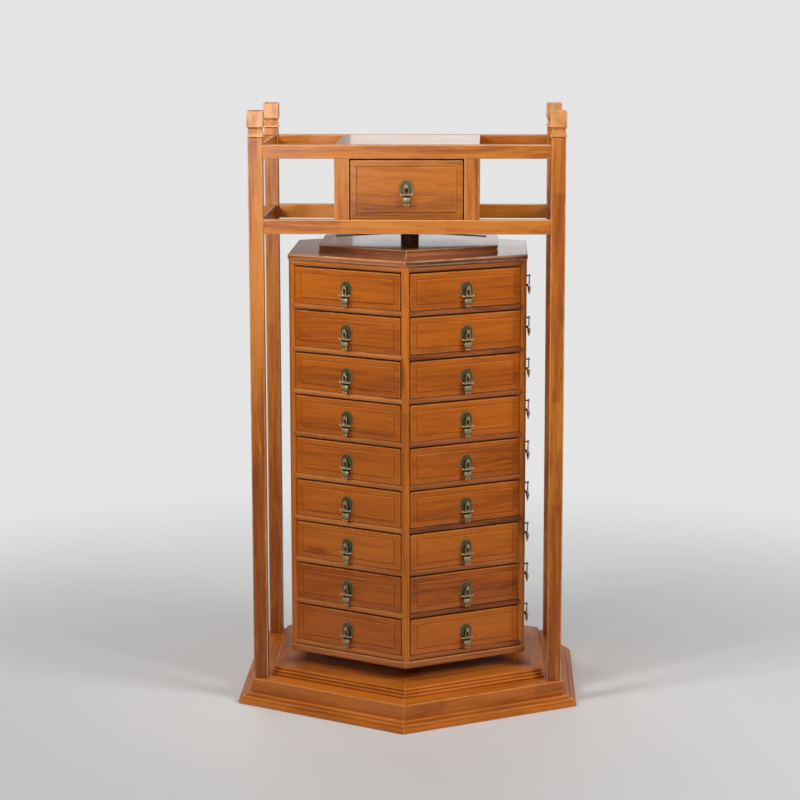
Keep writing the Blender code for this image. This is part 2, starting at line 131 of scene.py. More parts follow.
class Side(Enum):
    """Sides of the drum, each with the direction it faces in degrees from +X."""

    A = 240.0
    B = 300.0
    C = 0.0
    D = 60.0
    E = 120.0
    F = 180.0

    @property
    def letter(self) -> str:
        """Letter of the side in the names of its drawers."""
        return self.name.lower()

    @property
    def turn(self) -> Matrix:
        """Turn that brings a shape modelled facing -Y to this side."""
        return Matrix.Rotation(math.radians(self.value) + math.pi / 2, MATRIX_SIZE, "Z")


class Slot(Enum):
    """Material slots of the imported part."""

    STAND = "stand_wood"
    DRUM = "drum_wood"
    DRAWER = "drawer_wood"


@dataclass
class Outline:
    """Closed outline: its points, and the wear of the edge after each, from -1 (painted shade) to 1 (wear
    with a painted highlight).
    """

    points: list[Point2]
    wear: list[float]


@dataclass
class Board:
    """Solid in its own coordinates: its points, its faces, and the wear of each face, which also carries
    painted highlight and painted shade.
    """

    points: list[Vector]
    faces: list[list[int]]
    wear: list[float]


def ease(
    corners: Sequence[Corner],
    grooves: Sequence[Corner] = (),
    crests: Sequence[Corner] = (),
) -> Outline:
    """Rounds the corners of a polygon.

    Args:
        corners: Across, up and radius of each corner in order; a radius of 0 leaves a corner sharp.
        grooves: Those of the corners that lie in a groove.
        crests: Those of the corners that lie on the crest of a reed.

    Returns:
        The outline, with wear and painted highlight on its narrow roundings and crests, and painted shade in
        its grooves.
    """
    steps = ARC_STEPS
    points: list[Point2] = []
    wear: list[float] = []
    for i, (across, up, radius) in enumerate(corners):
        here = Vector((across, up))
        before = (Vector(corners[i - 1][:2]) - here).normalized()
        after = (Vector(corners[(i + 1) % len(corners)][:2]) - here).normalized()
        if radius <= 0.0:
            points.append((across, up))
            wear.append(0.0)
            continue
        half = before.angle(after) / 2
        centre = here + (before + after).normalized() * (radius / math.sin(half))
        first = here + before * (radius / math.tan(half)) - centre
        last = here + after * (radius / math.tan(half)) - centre
        span = math.copysign(math.pi - 2 * half, first.x * last.y - first.y * last.x)
        start = math.atan2(first.y, first.x)
        for k in range(steps + 1):
            turn = start + span * k / steps
            points.append((centre.x + radius * math.cos(turn), centre.y + radius * math.sin(turn)))
            # Narrow roundings get wear, which also paints a highlight line.
            wear.append(float(k < steps and radius < RUBBED_AND_HIGHLIGHT_RADIUS))
    # Grooves get painted shade; crests get wear and a painted highlight.
    for marked, level in ((grooves, GROOVE_SHADE), (crests, REED_WEAR_AND_HIGHLIGHT)):
        for across, up, _ in marked:
            at = points.index((across, up))
            wear[at - 1] = wear[at] = level
    return Outline(points, wear)


def eased_rectangle(low: Point2, high: Point2, radius: float) -> Outline:
    """Rectangle between two corners, with every corner rounded alike."""
    corners = ((low[0], low[1]), (high[0], low[1]), (high[0], high[1]), (low[0], high[1]))
    return ease([(across, up, radius) for across, up in corners])


def reeds(start: Point2, end: Point2, count: int, bulge: float) -> list[Corner]:
    """Row of half-round reeds between two points.

    Args:
        start: Where the first reed begins.
        end: Where the last reed ends.
        count: How many reeds.
        bulge: How far each one swells to the left of the way from start to end.

    Returns:
        Sharp corners for ease, from start to end, with a groove at every REED_STEPS-th of them.
    """
    steps = REED_STEPS
    way = Vector(end) - Vector(start)
    left = Vector((-way.y, way.x)).normalized()
    corners = []
    for k in range(count * steps + 1):
        level = Vector(start) + way * (k / (count * steps))
        point = level + left * bulge * math.sin(math.pi * (k % steps) / steps)
        corners.append((point.x, point.y, 0.0))
    return corners


def sweep(outline: Outline, start: EndCut, end: EndCut) -> Board:
    """Bar along X with an outline in Y and Z.

    Args:
        outline: Section of the bar.
        start: Where the bar starts, for each point of the section.
        end: Where the bar ends, for each point of the section.

    Returns:
        The closed bar.
    """
    rings = [[Vector((cut(a, b), a, b)) for a, b in outline.points] for cut in (start, end)]
    return skin(rings, edges=outline.wear)


def straight(outline: Outline, start: float, end: float) -> Board:
    """Bar along X with square ends."""
    return sweep(outline, lambda a, b: start, lambda a, b: end)


def bar(low: Point2, high: Point2, radius: float, start: float, end: float) -> Board:
    """Bar along X with square ends, and an eased rectangle for its section."""
    return straight(eased_rectangle(low, high, radius), start, end)


def skin(
    rings: Sequence[Sequence[Vector]],
    edges: Sequence[float] = (),
    bands: Sequence[float] = (),
) -> Board:
    """Closes a stack of rings of equal counts into a solid.

    Args:
        rings: The points of each ring.
        edges: The wear of the faces after each point of a ring, with painted highlight and shade; none if it
            is left out.
        bands: The wear of the faces after each ring, with painted highlight and shade; none if it is left
            out.

    Returns:
        The solid, with a cap on its first and last ring.
    """
    count = len(rings[0])
    points = [point for ring in rings for point in ring]
    faces = [list(range(count))[::-1], list(range(len(points) - count, len(points)))]
    wear = [0.0, 0.0]
    for level in range(len(rings) - 1):
        low, high = level * count, (level + 1) * count
        for i in range(count):
            j = (i + 1) % count
            faces.append([low + i, low + j, high + j, high + i])
            wear.append((edges[i] if edges else 0.0) + (bands[level] if bands else 0.0))
    return Board(points, faces, wear)


def round_turns(sides: int) -> list[float]:
    """Angles of the points of a round with so many sides."""
    return [2 * math.pi * k / sides for k in range(sides)]


def quarter_round(radius: float) -> list[Point2]:
    """Inset from the side and drop from the top at each step of a rounding, from the side up."""
    turns = [math.pi / 2 * k / ARC_STEPS for k in range(ARC_STEPS + 1)]
    return [(radius * (1 - math.cos(t)), radius * (1 - math.sin(t))) for t in turns]


def prism(plan: Sequence[Point2], low: float, high: float) -> Board:
    """Upright prism of a plan outline between two levels, with its grain along X."""
    return skin([[Vector((x, y, z)) for x, y in plan] for z in (low, high)])


def turned(profile: Sequence[Point2], sides: int = ROUND_SIDES, bands: Sequence[float] = ()) -> Board:
    """Solid of revolution along X.

    Args:
        profile: Radius and height of each ring.
        sides: How many sides stand for the round.
        bands: The wear of the faces after each ring, with painted highlight and shade; none if it is left
            out.

    Returns:
        The solid.
    """
    turns = round_turns(sides)
    rings = [[Vector((height, r * math.cos(t), r * math.sin(t))) for t in turns] for r, height in profile]
    return skin(rings, bands=bands)


def hexagon(apothem: float) -> list[Point2]:
    """Outline of a hexagon with corners on the -Y and +Y axes.

    Args:
        apothem: Distance of its sides from the middle.

    Returns:
        Its corners.
    """
    radius = apothem / HEX_COS
    turns = [HEX_TURN * (k + 0.5) for k in range(HEX_SIDES)]
    return [(radius * math.cos(t), radius * math.sin(t)) for t in turns]


def axes(along: Vector, across: Vector, out: Vector, origin: Vector | None = None) -> Matrix:
    """Place of a board, from the directions of its axes.

    Args:
        along: Where its X goes.
        across: Where its Y goes.
        out: Where its Z goes.
        origin: Where its origin goes; it stays without one.

    Returns:
        The matrix that puts the board there.
    """
    place = Matrix((along, across, out)).transposed().to_4x4()
    place.translation = origin or Vector()
    return place


def mitred(section: Outline, back_off: float = MITRE_GAP, rubbed: float = 0.0) -> Board:
    """Board along one side of a hexagon, facing -Y, mitred against its neighbours at both ends.

    Args:
        section: Section of the board, in Y and Z.
        back_off: How far each end keeps from the mitre.
        rubbed: The wear of a narrow band along each mitre, which also paints glints at the corners.

    Returns:
        The board.
    """
    rings = []
    # The bands next to each mitre carry wear and painted glints.
    for side, inset in ((-1, 0.0), (-1, CORNER_BAND), (1, CORNER_BAND), (1, 0.0)):
        rings.append([Vector((side * (-y * HEX_TAN - back_off - inset), y, z)) for y, z in section.points])
    return skin(rings, edges=section.wear, bands=(rubbed, 0.0, rubbed))


def new_object(name: str, data: bpy.types.ID) -> bpy.types.Object:
    """Adds an object to the scene.

    Args:
        name: Name of the object.
        data: Its mesh, light or camera.

    Returns:
        The object.
    """
    made = bpy.data.objects.new(name, data)
    bpy.context.scene.collection.objects.link(made)
    return made


class PieceMesh:
    """Mesh of one piece: solids that keep their own coordinates, tone and wear for the finish; tone and wear
    also carry painted light and shade.
    """

    def __init__(self, name: str, seed: int) -> None:
        """Starts an empty mesh.

        Args:
            name: Name of the piece.
            seed: Seed of the piece's own draws.
        """
        self.name = name
        self.draw = random.Random(seed)
        self.shape = bmesh.new()
        self.grain = self.shape.verts.layers.float_vector.new(GRAIN)
        self.tone = self.shape.verts.layers.float.new(TONE)
        self.wear = self.shape.faces.layers.float.new(WEAR_AND_LIGHT)

    def add(self, board: Board, place: Matrix | None = None, ageing: float = 0.0) -> None:
        """Adds a solid.

        Args:
            board: The solid in its own coordinates.
            place: Where it goes; as it is without one.
            ageing: Painted shade: how much darker in tone the solid is at X = 0 than at its far end.
        """
        place = place or Matrix()
        reach = max(point.x for point in board.points)
        shift = Vector([self.draw.uniform(0.0, GRAIN_SPREAD) for _ in range(AXIS_COUNT)])
        tone = self.draw.random()
        made = []
        for point in board.points:
            vert = self.shape.verts.new(place @ point)
            vert[self.grain] = point + shift
            # Painted shade: the tone darkens towards X = 0.
            vert[self.tone] = tone - ageing * (1.0 - point.x / reach) ** FOOT_SHADE_POWER
            made.append(vert)
        for corners, wear in zip(board.faces, board.wear):
            face = self.shape.faces.new([made[i] for i in corners])
            face.smooth = True
            face[self.wear] = wear

    def add_wire(self, path: Sequence[Vector], rubbing_and_highlight: Sequence[float], closed: bool) -> None:
        """Adds a path of loose edges, which the pull's node tree turns into a wire.

        Args:
            path: Points of the path.
            rubbing_and_highlight: The wear and painted highlight at each point, which the tree reads from
                the tone.
            closed: Whether the path ends where it starts.
        """
        made = [self.shape.verts.new(point) for point in path]
        for vert, wear in zip(made, rubbing_and_highlight):
            vert[self.tone] = wear
        pairs = list(zip(made, made[1:])) + ([(made[-1], made[0])] if closed else [])
        for pair in pairs:
            self.shape.edges.new(pair)

    def piece(self, material: Material | None = None) -> Piece:
        """Makes the piece's object, with its faces turned outwards.

        Args:
            material: Finish of the whole piece; a node tree sets it where there is none.

        Returns:
            The object, at the origin.
        """
        bmesh.ops.recalc_face_normals(self.shape, faces=self.shape.faces)
        mesh = bpy.data.meshes.new(self.name)
        self.shape.to_mesh(mesh)
        self.shape.free()
        if material is not None:
            mesh.materials.append(material)
        return new_object(self.name, mesh)


def settle(piece: Piece) -> Piece:
    """Turns what a piece's modifiers make into its plain mesh and removes them.

    Args:
        piece: The piece, with its modifiers live.

    Returns:
        The same piece.
    """
    graph = bpy.context.evaluated_depsgraph_get()
    made = piece.evaluated_get(graph)
    mesh = bpy.data.meshes.new_from_object(made, preserve_all_data_layers=True, depsgraph=graph)
    mesh.name = piece.name
    piece.modifiers.clear()
    piece.data = mesh
    return piece


def smooth_shade(piece: Piece) -> Piece:
    """Keeps hard edges sharp and lets flat faces stay flat between their rounded arrises.

    Args:
        piece: The piece.

    Returns:
        The same piece.
    """
    piece.data.set_sharp_from_angle(angle=SMOOTH_ANGLE)
    weighted = piece.modifiers.new("flat_faces", "WEIGHTED_NORMAL")
    weighted.keep_sharp = True
    return settle(piece)


def dress(
    piece: Piece,
    body: str,
    stands_for: Sequence[str] = (),
) -> None:
    """Puts a finished piece on its body.

    Args:
        piece: The piece.
        body: Body that it moves with.
        stands_for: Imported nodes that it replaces.
    """
    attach(piece, body)
    if stands_for:
        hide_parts(*stands_for)
    LOG.info("%s rides on %s with %d faces", piece.name, body, len(piece.data.polygons))


class Sketch:
    """Adds nodes to a tree and links them, so that a tree reads as a list of steps."""

    def __init__(self, tree: Tree) -> None:
        """Starts on a tree, which it empties."""
        self.tree = tree
        tree.nodes.clear()

    def add(self, kind: str, inputs: dict | None = None, **settings: object) -> bpy.types.Node:
        """Adds a node.

        Args:
            kind: Type of node.
            inputs: Values or sockets for its inputs, by name or number.
            **settings: Properties of the node.

        Returns:
            The node.
        """
        node = self.tree.nodes.new(kind)
        for name, value in settings.items():
            setattr(node, name, value)
        for key, value in (inputs or {}).items():
            if isinstance(value, Socket):
                self.tree.links.new(value, node.inputs[key])
            else:
                node.inputs[key].default_value = value
        return node

    def value(self, operation: str, *terms: object) -> Socket:
        """Result of a Math node on values or sockets."""
        return self.add("ShaderNodeMath", dict(enumerate(terms)), operation=operation).outputs[0]

    def vector(self, operation: str, *terms: object) -> Socket:
        """Result of a Vector Math node on vectors or sockets."""
        return self.add("ShaderNodeVectorMath", dict(enumerate(terms)), operation=operation).outputs[0]

    def noise(self, at: Socket, stretch: object, detail: float) -> bpy.types.Node:
        """Noise that is stretched by a factor along each axis."""
        scaled = self.vector("MULTIPLY", at, stretch)
        return self.add("ShaderNodeTexNoise", {"Vector": scaled, "Scale": 1.0, "Detail": detail})

    def place(self, group: Tree, inputs: dict) -> Outputs:
        """Outputs of a shader group with values or sockets for its inputs."""
        return self.add("ShaderNodeGroup", inputs, node_tree=group).outputs

    def attribute(self, name: str) -> Outputs:
        """Outputs of a node that reads one of a piece's own attributes, in a material."""
        return self.add("ShaderNodeAttribute", attribute_name=name, attribute_type="GEOMETRY").outputs

    def named(self, name: str, kind: str) -> Socket:
        """Values of a named attribute, in a geometry tree."""
        node = self.add("GeometryNodeInputNamedAttribute", {"Name": name}, data_type=kind)
        return node.outputs["Attribute"]

    def remap(
        self,
        value: Socket,
        source: Point2,
        target: tuple[object, object],
        smooth: bool = True,
    ) -> Socket:
        """Maps one range to another and holds it at its ends.

        Args:
            value: Socket of the value.
            source: Ends of the range that it comes from.
            target: Ends of the range that it goes to, as values or sockets.
            smooth: Whether it eases in and out.

        Returns:
            Socket of the mapped value.
        """
        ends = {
            "Value": value,
            "From Min": source[0],
            "From Max": source[1],
            "To Min": target[0],
            "To Max": target[1],
        }
        kind = "SMOOTHSTEP" if smooth else "LINEAR"
        return self.add("ShaderNodeMapRange", ends, interpolation_type=kind).outputs["Result"]

    def mix(self, share: object, first: object, second: object) -> Socket:
        """Colour between two colours."""
        inputs = {MIX_FACTOR: share, MIX_A: first, MIX_B: second}
        return self.add("ShaderNodeMix", inputs, data_type="RGBA").outputs[MIX_RESULT]

    def store(
        self,
        geometry: object,
        name: str,
        value: object,
        kind: str,
        domain: str,
    ) -> Socket:
        """Geometry with a named attribute stored on it.

        Args:
            geometry: Socket of the geometry.
            name: Name of the attribute.
            value: Socket of its values.
            kind: Type of its values.
            domain: What it is stored on.

        Returns:
            Socket of the geometry.
        """
        settings = {"data_type": kind, "domain": domain}
        inputs = {"Geometry": geometry, "Name": name, "Value": value}
        return self.add("GeometryNodeStoreNamedAttribute", inputs, **settings).outputs["Geometry"]


def new_group(name: str, kind: str, inputs: dict[str, str], outputs: dict[str, str]) -> Sketch:
    """Makes a node group with named sockets.

    Args:
        name: Name of the group.
        kind: Type of tree.
        inputs: Socket types by name.
        outputs: Socket types by name.

    Returns:
        A sketch of the empty group.
    """
    tree = bpy.data.node_groups.new(name, kind)
    for label, socket in inputs.items():
        tree.interface.new_socket(label, in_out="INPUT", socket_type=f"NodeSocket{socket}")
    for label, socket in outputs.items():
        tree.interface.new_socket(label, in_out="OUTPUT", socket_type=f"NodeSocket{socket}")
    return Sketch(tree)


def new_material(name: str) -> tuple[Material, Sketch]:
    """Makes an empty material.

    Args:
        name: Name of the material.

    Returns:
        The material, and a sketch of its tree.
    """
    material = bpy.data.materials.new(name)
    material.use_nodes = True
    return material, Sketch(material.node_tree)


def rgba(colour: Colour) -> tuple[float, float, float, float]:
    """Opaque colour for a socket."""
    return (*colour, 1.0)


@dataclass
class ShaderKit:
    """Shader groups that the finishes share: the figure of wood, wear on arrises that also paints
    highlights, painted shade, and patches of gloss.

    Scales count waves to the metre, along a board and across it.
    """

    sway_scale: Triple = (4.5, 8.0, 8.0)
    sway_reach: Triple = (0.0, 0.016, 0.016)
    band_scale: Triple = (1.6, 13.0, 13.0)
    line_scale: Triple = (5.5, 85.0, 85.0)
    fibre_scale: Triple = (16.0, 420.0, 420.0)
    pore_scale: Triple = (60.0, 1300.0, 1300.0)
    knot_scale: Triple = (3.6, 15.0, 15.0)
    soft_detail: float = 1.0
    cloud_detail: float = 2.0
    fibre_detail: float = 2.0
    line_detail: float = 3.0
    band_share: float = 0.38
    line_share: float = 0.36
    fibre_share: float = 0.26
    tone_share: float = 0.30
    contrast: Point2 = (0.30, 0.70)
    stave_length: float = 0.26
    stave_width: float = 0.021
    pore_edge: Point2 = (0.58, 0.72)
    knot_edge: Point2 = (0.05, 0.20)
    knot_rarity: float = 0.80
    rub_edge: Point2 = (0.25, 0.75)
    rub_left: Point2 = (0.35, 1.0)
    grime_left: Point2 = (0.75, 1.0)

    def __post_init__(self) -> None:
        """Builds each group once."""
        self.figure = self._wood_figure()
        self.wear = self._arris_wear()
        self.patches = self._patches()

    def _wood_figure(self) -> Tree:
        """Figure of sawn wood: staves glued end to end, soft bands, lines, fibres, pores and a few knots.

        Returns:
            The group.
        """
        outputs = {"Figure": "Float", "Fibres": "Float", "Pores": "Float", "Knots": "Float"}
        inputs = {"Grain": "Vector", "Tone": "Float", "Staves": "Float"}
        sketch = new_group("wood_figure", "ShaderNodeTree", inputs, outputs)
        given = sketch.add("NodeGroupInput").outputs
        drift = sketch.noise(given["Grain"], self.sway_scale, self.soft_detail).outputs["Color"]
        sway = sketch.vector("SUBTRACT", drift, (MEAN_DRAW,) * AXIS_COUNT)
        bent = sketch.vector("ADD", given["Grain"], sketch.vector("MULTIPLY", sway, self.sway_reach))
        bands = sketch.noise(bent, self.band_scale, self.soft_detail).outputs["Fac"]
        lines = sketch.noise(bent, self.line_scale, self.line_detail).outputs["Fac"]
        fibres = sketch.noise(bent, self.fibre_scale, self.fibre_detail).outputs["Fac"]
        pores = sketch.noise(given["Grain"], self.pore_scale, self.soft_detail).outputs["Fac"]
        cells = sketch.vector("MULTIPLY", bent, self.knot_scale)
        spots = sketch.add("ShaderNodeTexVoronoi", {"Vector": cells, "Scale": 1.0}).outputs
        draws = sketch.add("ShaderNodeSeparateColor", {0: spots["Color"]}).outputs
        chosen = sketch.value("GREATER_THAN", draws[0], self.knot_rarity)
        near = sketch.remap(spots["Distance"], self.knot_edge, (1.0, 0.0))
        figure = sketch.value("MULTIPLY", bands, self.band_share)
        for strands, share in ((lines, self.line_share), (fibres, self.fibre_share)):
            figure = sketch.value("MULTIPLY_ADD", strands, share, figure)
        figure = sketch.remap(figure, self.contrast, (0.0, 1.0), smooth=False)
        shade = sketch.value("SUBTRACT", given["Tone"], MEAN_DRAW)
        figure = sketch.value("MULTIPLY_ADD", shade, self.tone_share, figure)
        staves = sketch.add("ShaderNodeTexBrick", {
            "Vector": given["Grain"],
            "Color1": rgba((0.0, 0.0, 0.0)),
            "Color2": rgba((1.0, 1.0, 1.0)),
            "Scale": 1.0,
            "Mortar Size": 0.0,
            "Brick Width": self.stave_length,
            "Row Height": self.stave_width,
        })
        drawn = sketch.value("SUBTRACT", staves.outputs["Color"], MEAN_DRAW)
        figure = sketch.value("MULTIPLY_ADD", drawn, given["Staves"], figure)
        sketch.add("NodeGroupOutput", {
            "Figure": sketch.add("ShaderNodeClamp", {"Value": figure}).outputs["Result"],
            "Fibres": fibres,
            "Pores": sketch.remap(pores, self.pore_edge, (0.0, 1.0)),
            "Knots": sketch.value("MULTIPLY", near, chosen),
        })
        return sketch.tree

    def _arris_wear(self) -> Tree:
        """Masks of wear on arrises, broken up along their length, which also paints highlights, and of
        painted shade in grooves and hollows, with patina on a pull's rim.

        Returns:
            The group.
        """
        inputs = {"Grain": "Vector", "Wear": "Float", "Break Up": "Float"}
        sketch = new_group("arris_wear", "ShaderNodeTree", inputs, {"Rubbed": "Float", "Grime": "Float"})
        given = sketch.add("NodeGroupInput").outputs
        cloud = self._cloud(sketch, given["Grain"], given["Break Up"])
        broken = sketch.remap(cloud, self.rub_edge, self.rub_left)
        # Above 0: wear, which also paints highlights. Below 0: painted shade, and patina on a pull's rim.
        rubbed = sketch.value("MAXIMUM", given["Wear"], 0.0)
        grime = sketch.value("MAXIMUM", sketch.value("MULTIPLY", given["Wear"], -1.0), 0.0)
        sketch.add("NodeGroupOutput", {
            "Rubbed": sketch.value("MULTIPLY", broken, rubbed),
            "Grime": sketch.value("MULTIPLY", sketch.remap(broken, (0.0, 1.0), self.grime_left), grime),
        })
        return sketch.tree

    def _patches(self) -> Tree:
        """Value that drifts between two ends in soft patches.

        Returns:
            The group.
        """
        inputs = {"Grain": "Vector", "Scale": "Float", "Low": "Float", "High": "Float"}
        sketch = new_group("patches", "ShaderNodeTree", inputs, {"Value": "Float"})
        given = sketch.add("NodeGroupInput").outputs
        cloud = self._cloud(sketch, given["Grain"], given["Scale"])
        drift = sketch.remap(cloud, self.contrast, (given["Low"], given["High"]), smooth=False)
        sketch.add("NodeGroupOutput", {"Value": drift})
        return sketch.tree

    def _cloud(self, sketch: Sketch, grain: Socket, scale: Socket) -> Socket:
        """Soft noise at the same scale along a board and across it."""
        even = sketch.add("ShaderNodeCombineXYZ", {i: scale for i in range(AXIS_COUNT)}).outputs[0]
        return sketch.noise(grain, even, self.cloud_detail).outputs["Fac"]

    def worn(self, sketch: Sketch, grain: Socket, break_up: float) -> Outputs:
        """Masks of a piece's own wear, which also paints highlights, and of its painted shade, in a
        material.
        """
        values = {"Grain": grain, "Wear": sketch.attribute(WEAR_AND_LIGHT)["Fac"], "Break Up": break_up}
        return sketch.place(self.wear, values)

    def drift(self, sketch: Sketch, grain: Socket, scale: float, ends: Point2) -> Socket:
        """Value that drifts between two ends, in a material."""
        values = {"Grain": grain, "Scale": scale, "Low": ends[0], "High": ends[1]}
        return sketch.place(self.patches, values)["Value"]


@dataclass(frozen=True)
class Palette:
    """Colours of a wood, from the dark lines of its figure to the light ones, and its colour of wear, which
    also paints highlights.
    """

    dark: Colour
    deep: Colour
    middle: Colour
    light: Colour
    worn: Colour


@dataclass(frozen=True)
class Surface:
    """Gloss of a surface: the ends of its roughness, its shine, its coat, and the relief of the grain."""

    gloss: Point2
    shine: float
    coat: float
    coat_roughness: float
    relief: float


@dataclass(frozen=True)
class Lacquer:
    """Wood under lacquer: its colours, its surface, and the shares of what marks it."""

    name: str
    palette: Palette
    surface: Surface
    staves: float = 0.0
    deep_stop: float = 0.28
    middle_stop: float = 0.55
    knot_share: float = 0.70
    pore_share: float = 0.22
    # Shares of the colour of wear, which also paints highlights, and of the dark colour in painted shade.
    worn_share: float = 0.55
    grime_share: float = 0.80
    break_up: float = 38.0
    gloss_scale: float = 9.0
    bump: float = 0.30

    def build(self, kit: ShaderKit) -> Material:
        """Makes the material.

        Args:
            kit: Shader groups to place in it.

        Returns:
            The material.
        """
        wood, surface = self.palette, self.surface
        material, sketch = new_material(self.name)
        grain = sketch.attribute(GRAIN)["Vector"]
        figure = sketch.place(kit.figure, {
            "Grain": grain,
            "Tone": sketch.attribute(TONE)["Fac"],
            "Staves": self.staves,
        })
        ramp = sketch.add("ShaderNodeValToRGB", {"Fac": figure["Figure"]})
        stops = ramp.color_ramp.elements
        stops[0].color = rgba(wood.dark)
        stops[1].color = rgba(wood.light)
        for place, colour in ((self.deep_stop, wood.deep), (self.middle_stop, wood.middle)):
            stops.new(place).color = rgba(colour)
        knots = sketch.value("MULTIPLY", figure["Knots"], self.knot_share)
        shade = sketch.value("MULTIPLY_ADD", figure["Pores"], self.pore_share, knots)
        bare = sketch.mix(shade, ramp.outputs["Color"], rgba(wood.dark))
        wear = kit.worn(sketch, grain, self.break_up)
        worn = sketch.value("MULTIPLY", wear["Rubbed"], self.worn_share)
        # Painted shade darkens grooves and the foot of raised fields.
        grime = sketch.value("MULTIPLY", wear["Grime"], self.grime_share)
        bump = sketch.add("ShaderNodeBump", {
            "Height": sketch.value("SUBTRACT", figure["Fibres"], figure["Pores"]),
            "Strength": self.bump,
            "Distance": surface.relief,
        })
        shader = sketch.add("ShaderNodeBsdfPrincipled", {
            "Base Color": sketch.mix(grime, sketch.mix(worn, bare, rgba(wood.worn)), rgba(wood.dark)),
            "Roughness": kit.drift(sketch, grain, self.gloss_scale, surface.gloss),
            "Normal": bump.outputs["Normal"],
            "Specular IOR Level": surface.shine,
            "Coat Weight": surface.coat,
            "Coat Roughness": surface.coat_roughness,
        })
        sketch.add("ShaderNodeOutputMaterial", {"Surface": shader.outputs["BSDF"]})
        return material


@dataclass(frozen=True)
class AgedBrass:
    """Cast brass under a share of dull patina: dark with painted shade in its hollows, with patina at its
    rim, and bright where hands wear it and where highlights are painted.
    """

    name: str
    # Near-black colour of the painted shade in the pull's hollows, and of patina at its rim.
    grime: Colour
    tarnish: Colour
    metal: Colour
    # Bright brass where hands wear it, also the colour of the pull's painted highlights.
    rubbed: Colour
    gloss: Point2
    patina: float
    age_scale: float = 260.0
    break_up: float = 330.0
    gloss_scale: float = 420.0
    pit_scale: float = 900.0
    pit_detail: float = 2.0
    pit_depth: float = 0.0003
    bump: float = 0.25

    def build(self, kit: ShaderKit) -> Material:
        """Makes the material.

        Args:
            kit: Shader groups to place in it.

        Returns:
            The material.
        """
        material, sketch = new_material(self.name)
        grain = sketch.attribute(GRAIN)["Vector"]
        age = kit.drift(sketch, grain, self.age_scale, (0.0, 1.0))
        wear = kit.worn(sketch, grain, self.break_up)
        gloss = kit.drift(sketch, grain, self.gloss_scale, self.gloss)
        aged = sketch.mix(age, rgba(self.tarnish), rgba(self.metal))
        bright = sketch.mix(wear["Rubbed"], aged, rgba(self.rubbed))
        # Painted shade is dull as well as dark.
        dull = sketch.value("MULTIPLY", wear["Grime"], 1.0 - self.patina)
        pits = sketch.noise(grain, (self.pit_scale,) * AXIS_COUNT, self.pit_detail)
        bump = sketch.add("ShaderNodeBump", {
            "Height": pits.outputs["Fac"],
            "Strength": self.bump,
            "Distance": self.pit_depth,
        })
        shader = sketch.add("ShaderNodeBsdfPrincipled", {
            "Base Color": sketch.mix(wear["Grime"], bright, rgba(self.grime)),
            "Metallic": sketch.value("SUBTRACT", 1.0 - self.patina, dull),
            "Roughness": sketch.value("MAXIMUM", gloss, wear["Grime"]),
            "Normal": bump.outputs["Normal"],
        })
        sketch.add("ShaderNodeOutputMaterial", {"Surface": shader.outputs["BSDF"]})
        return material


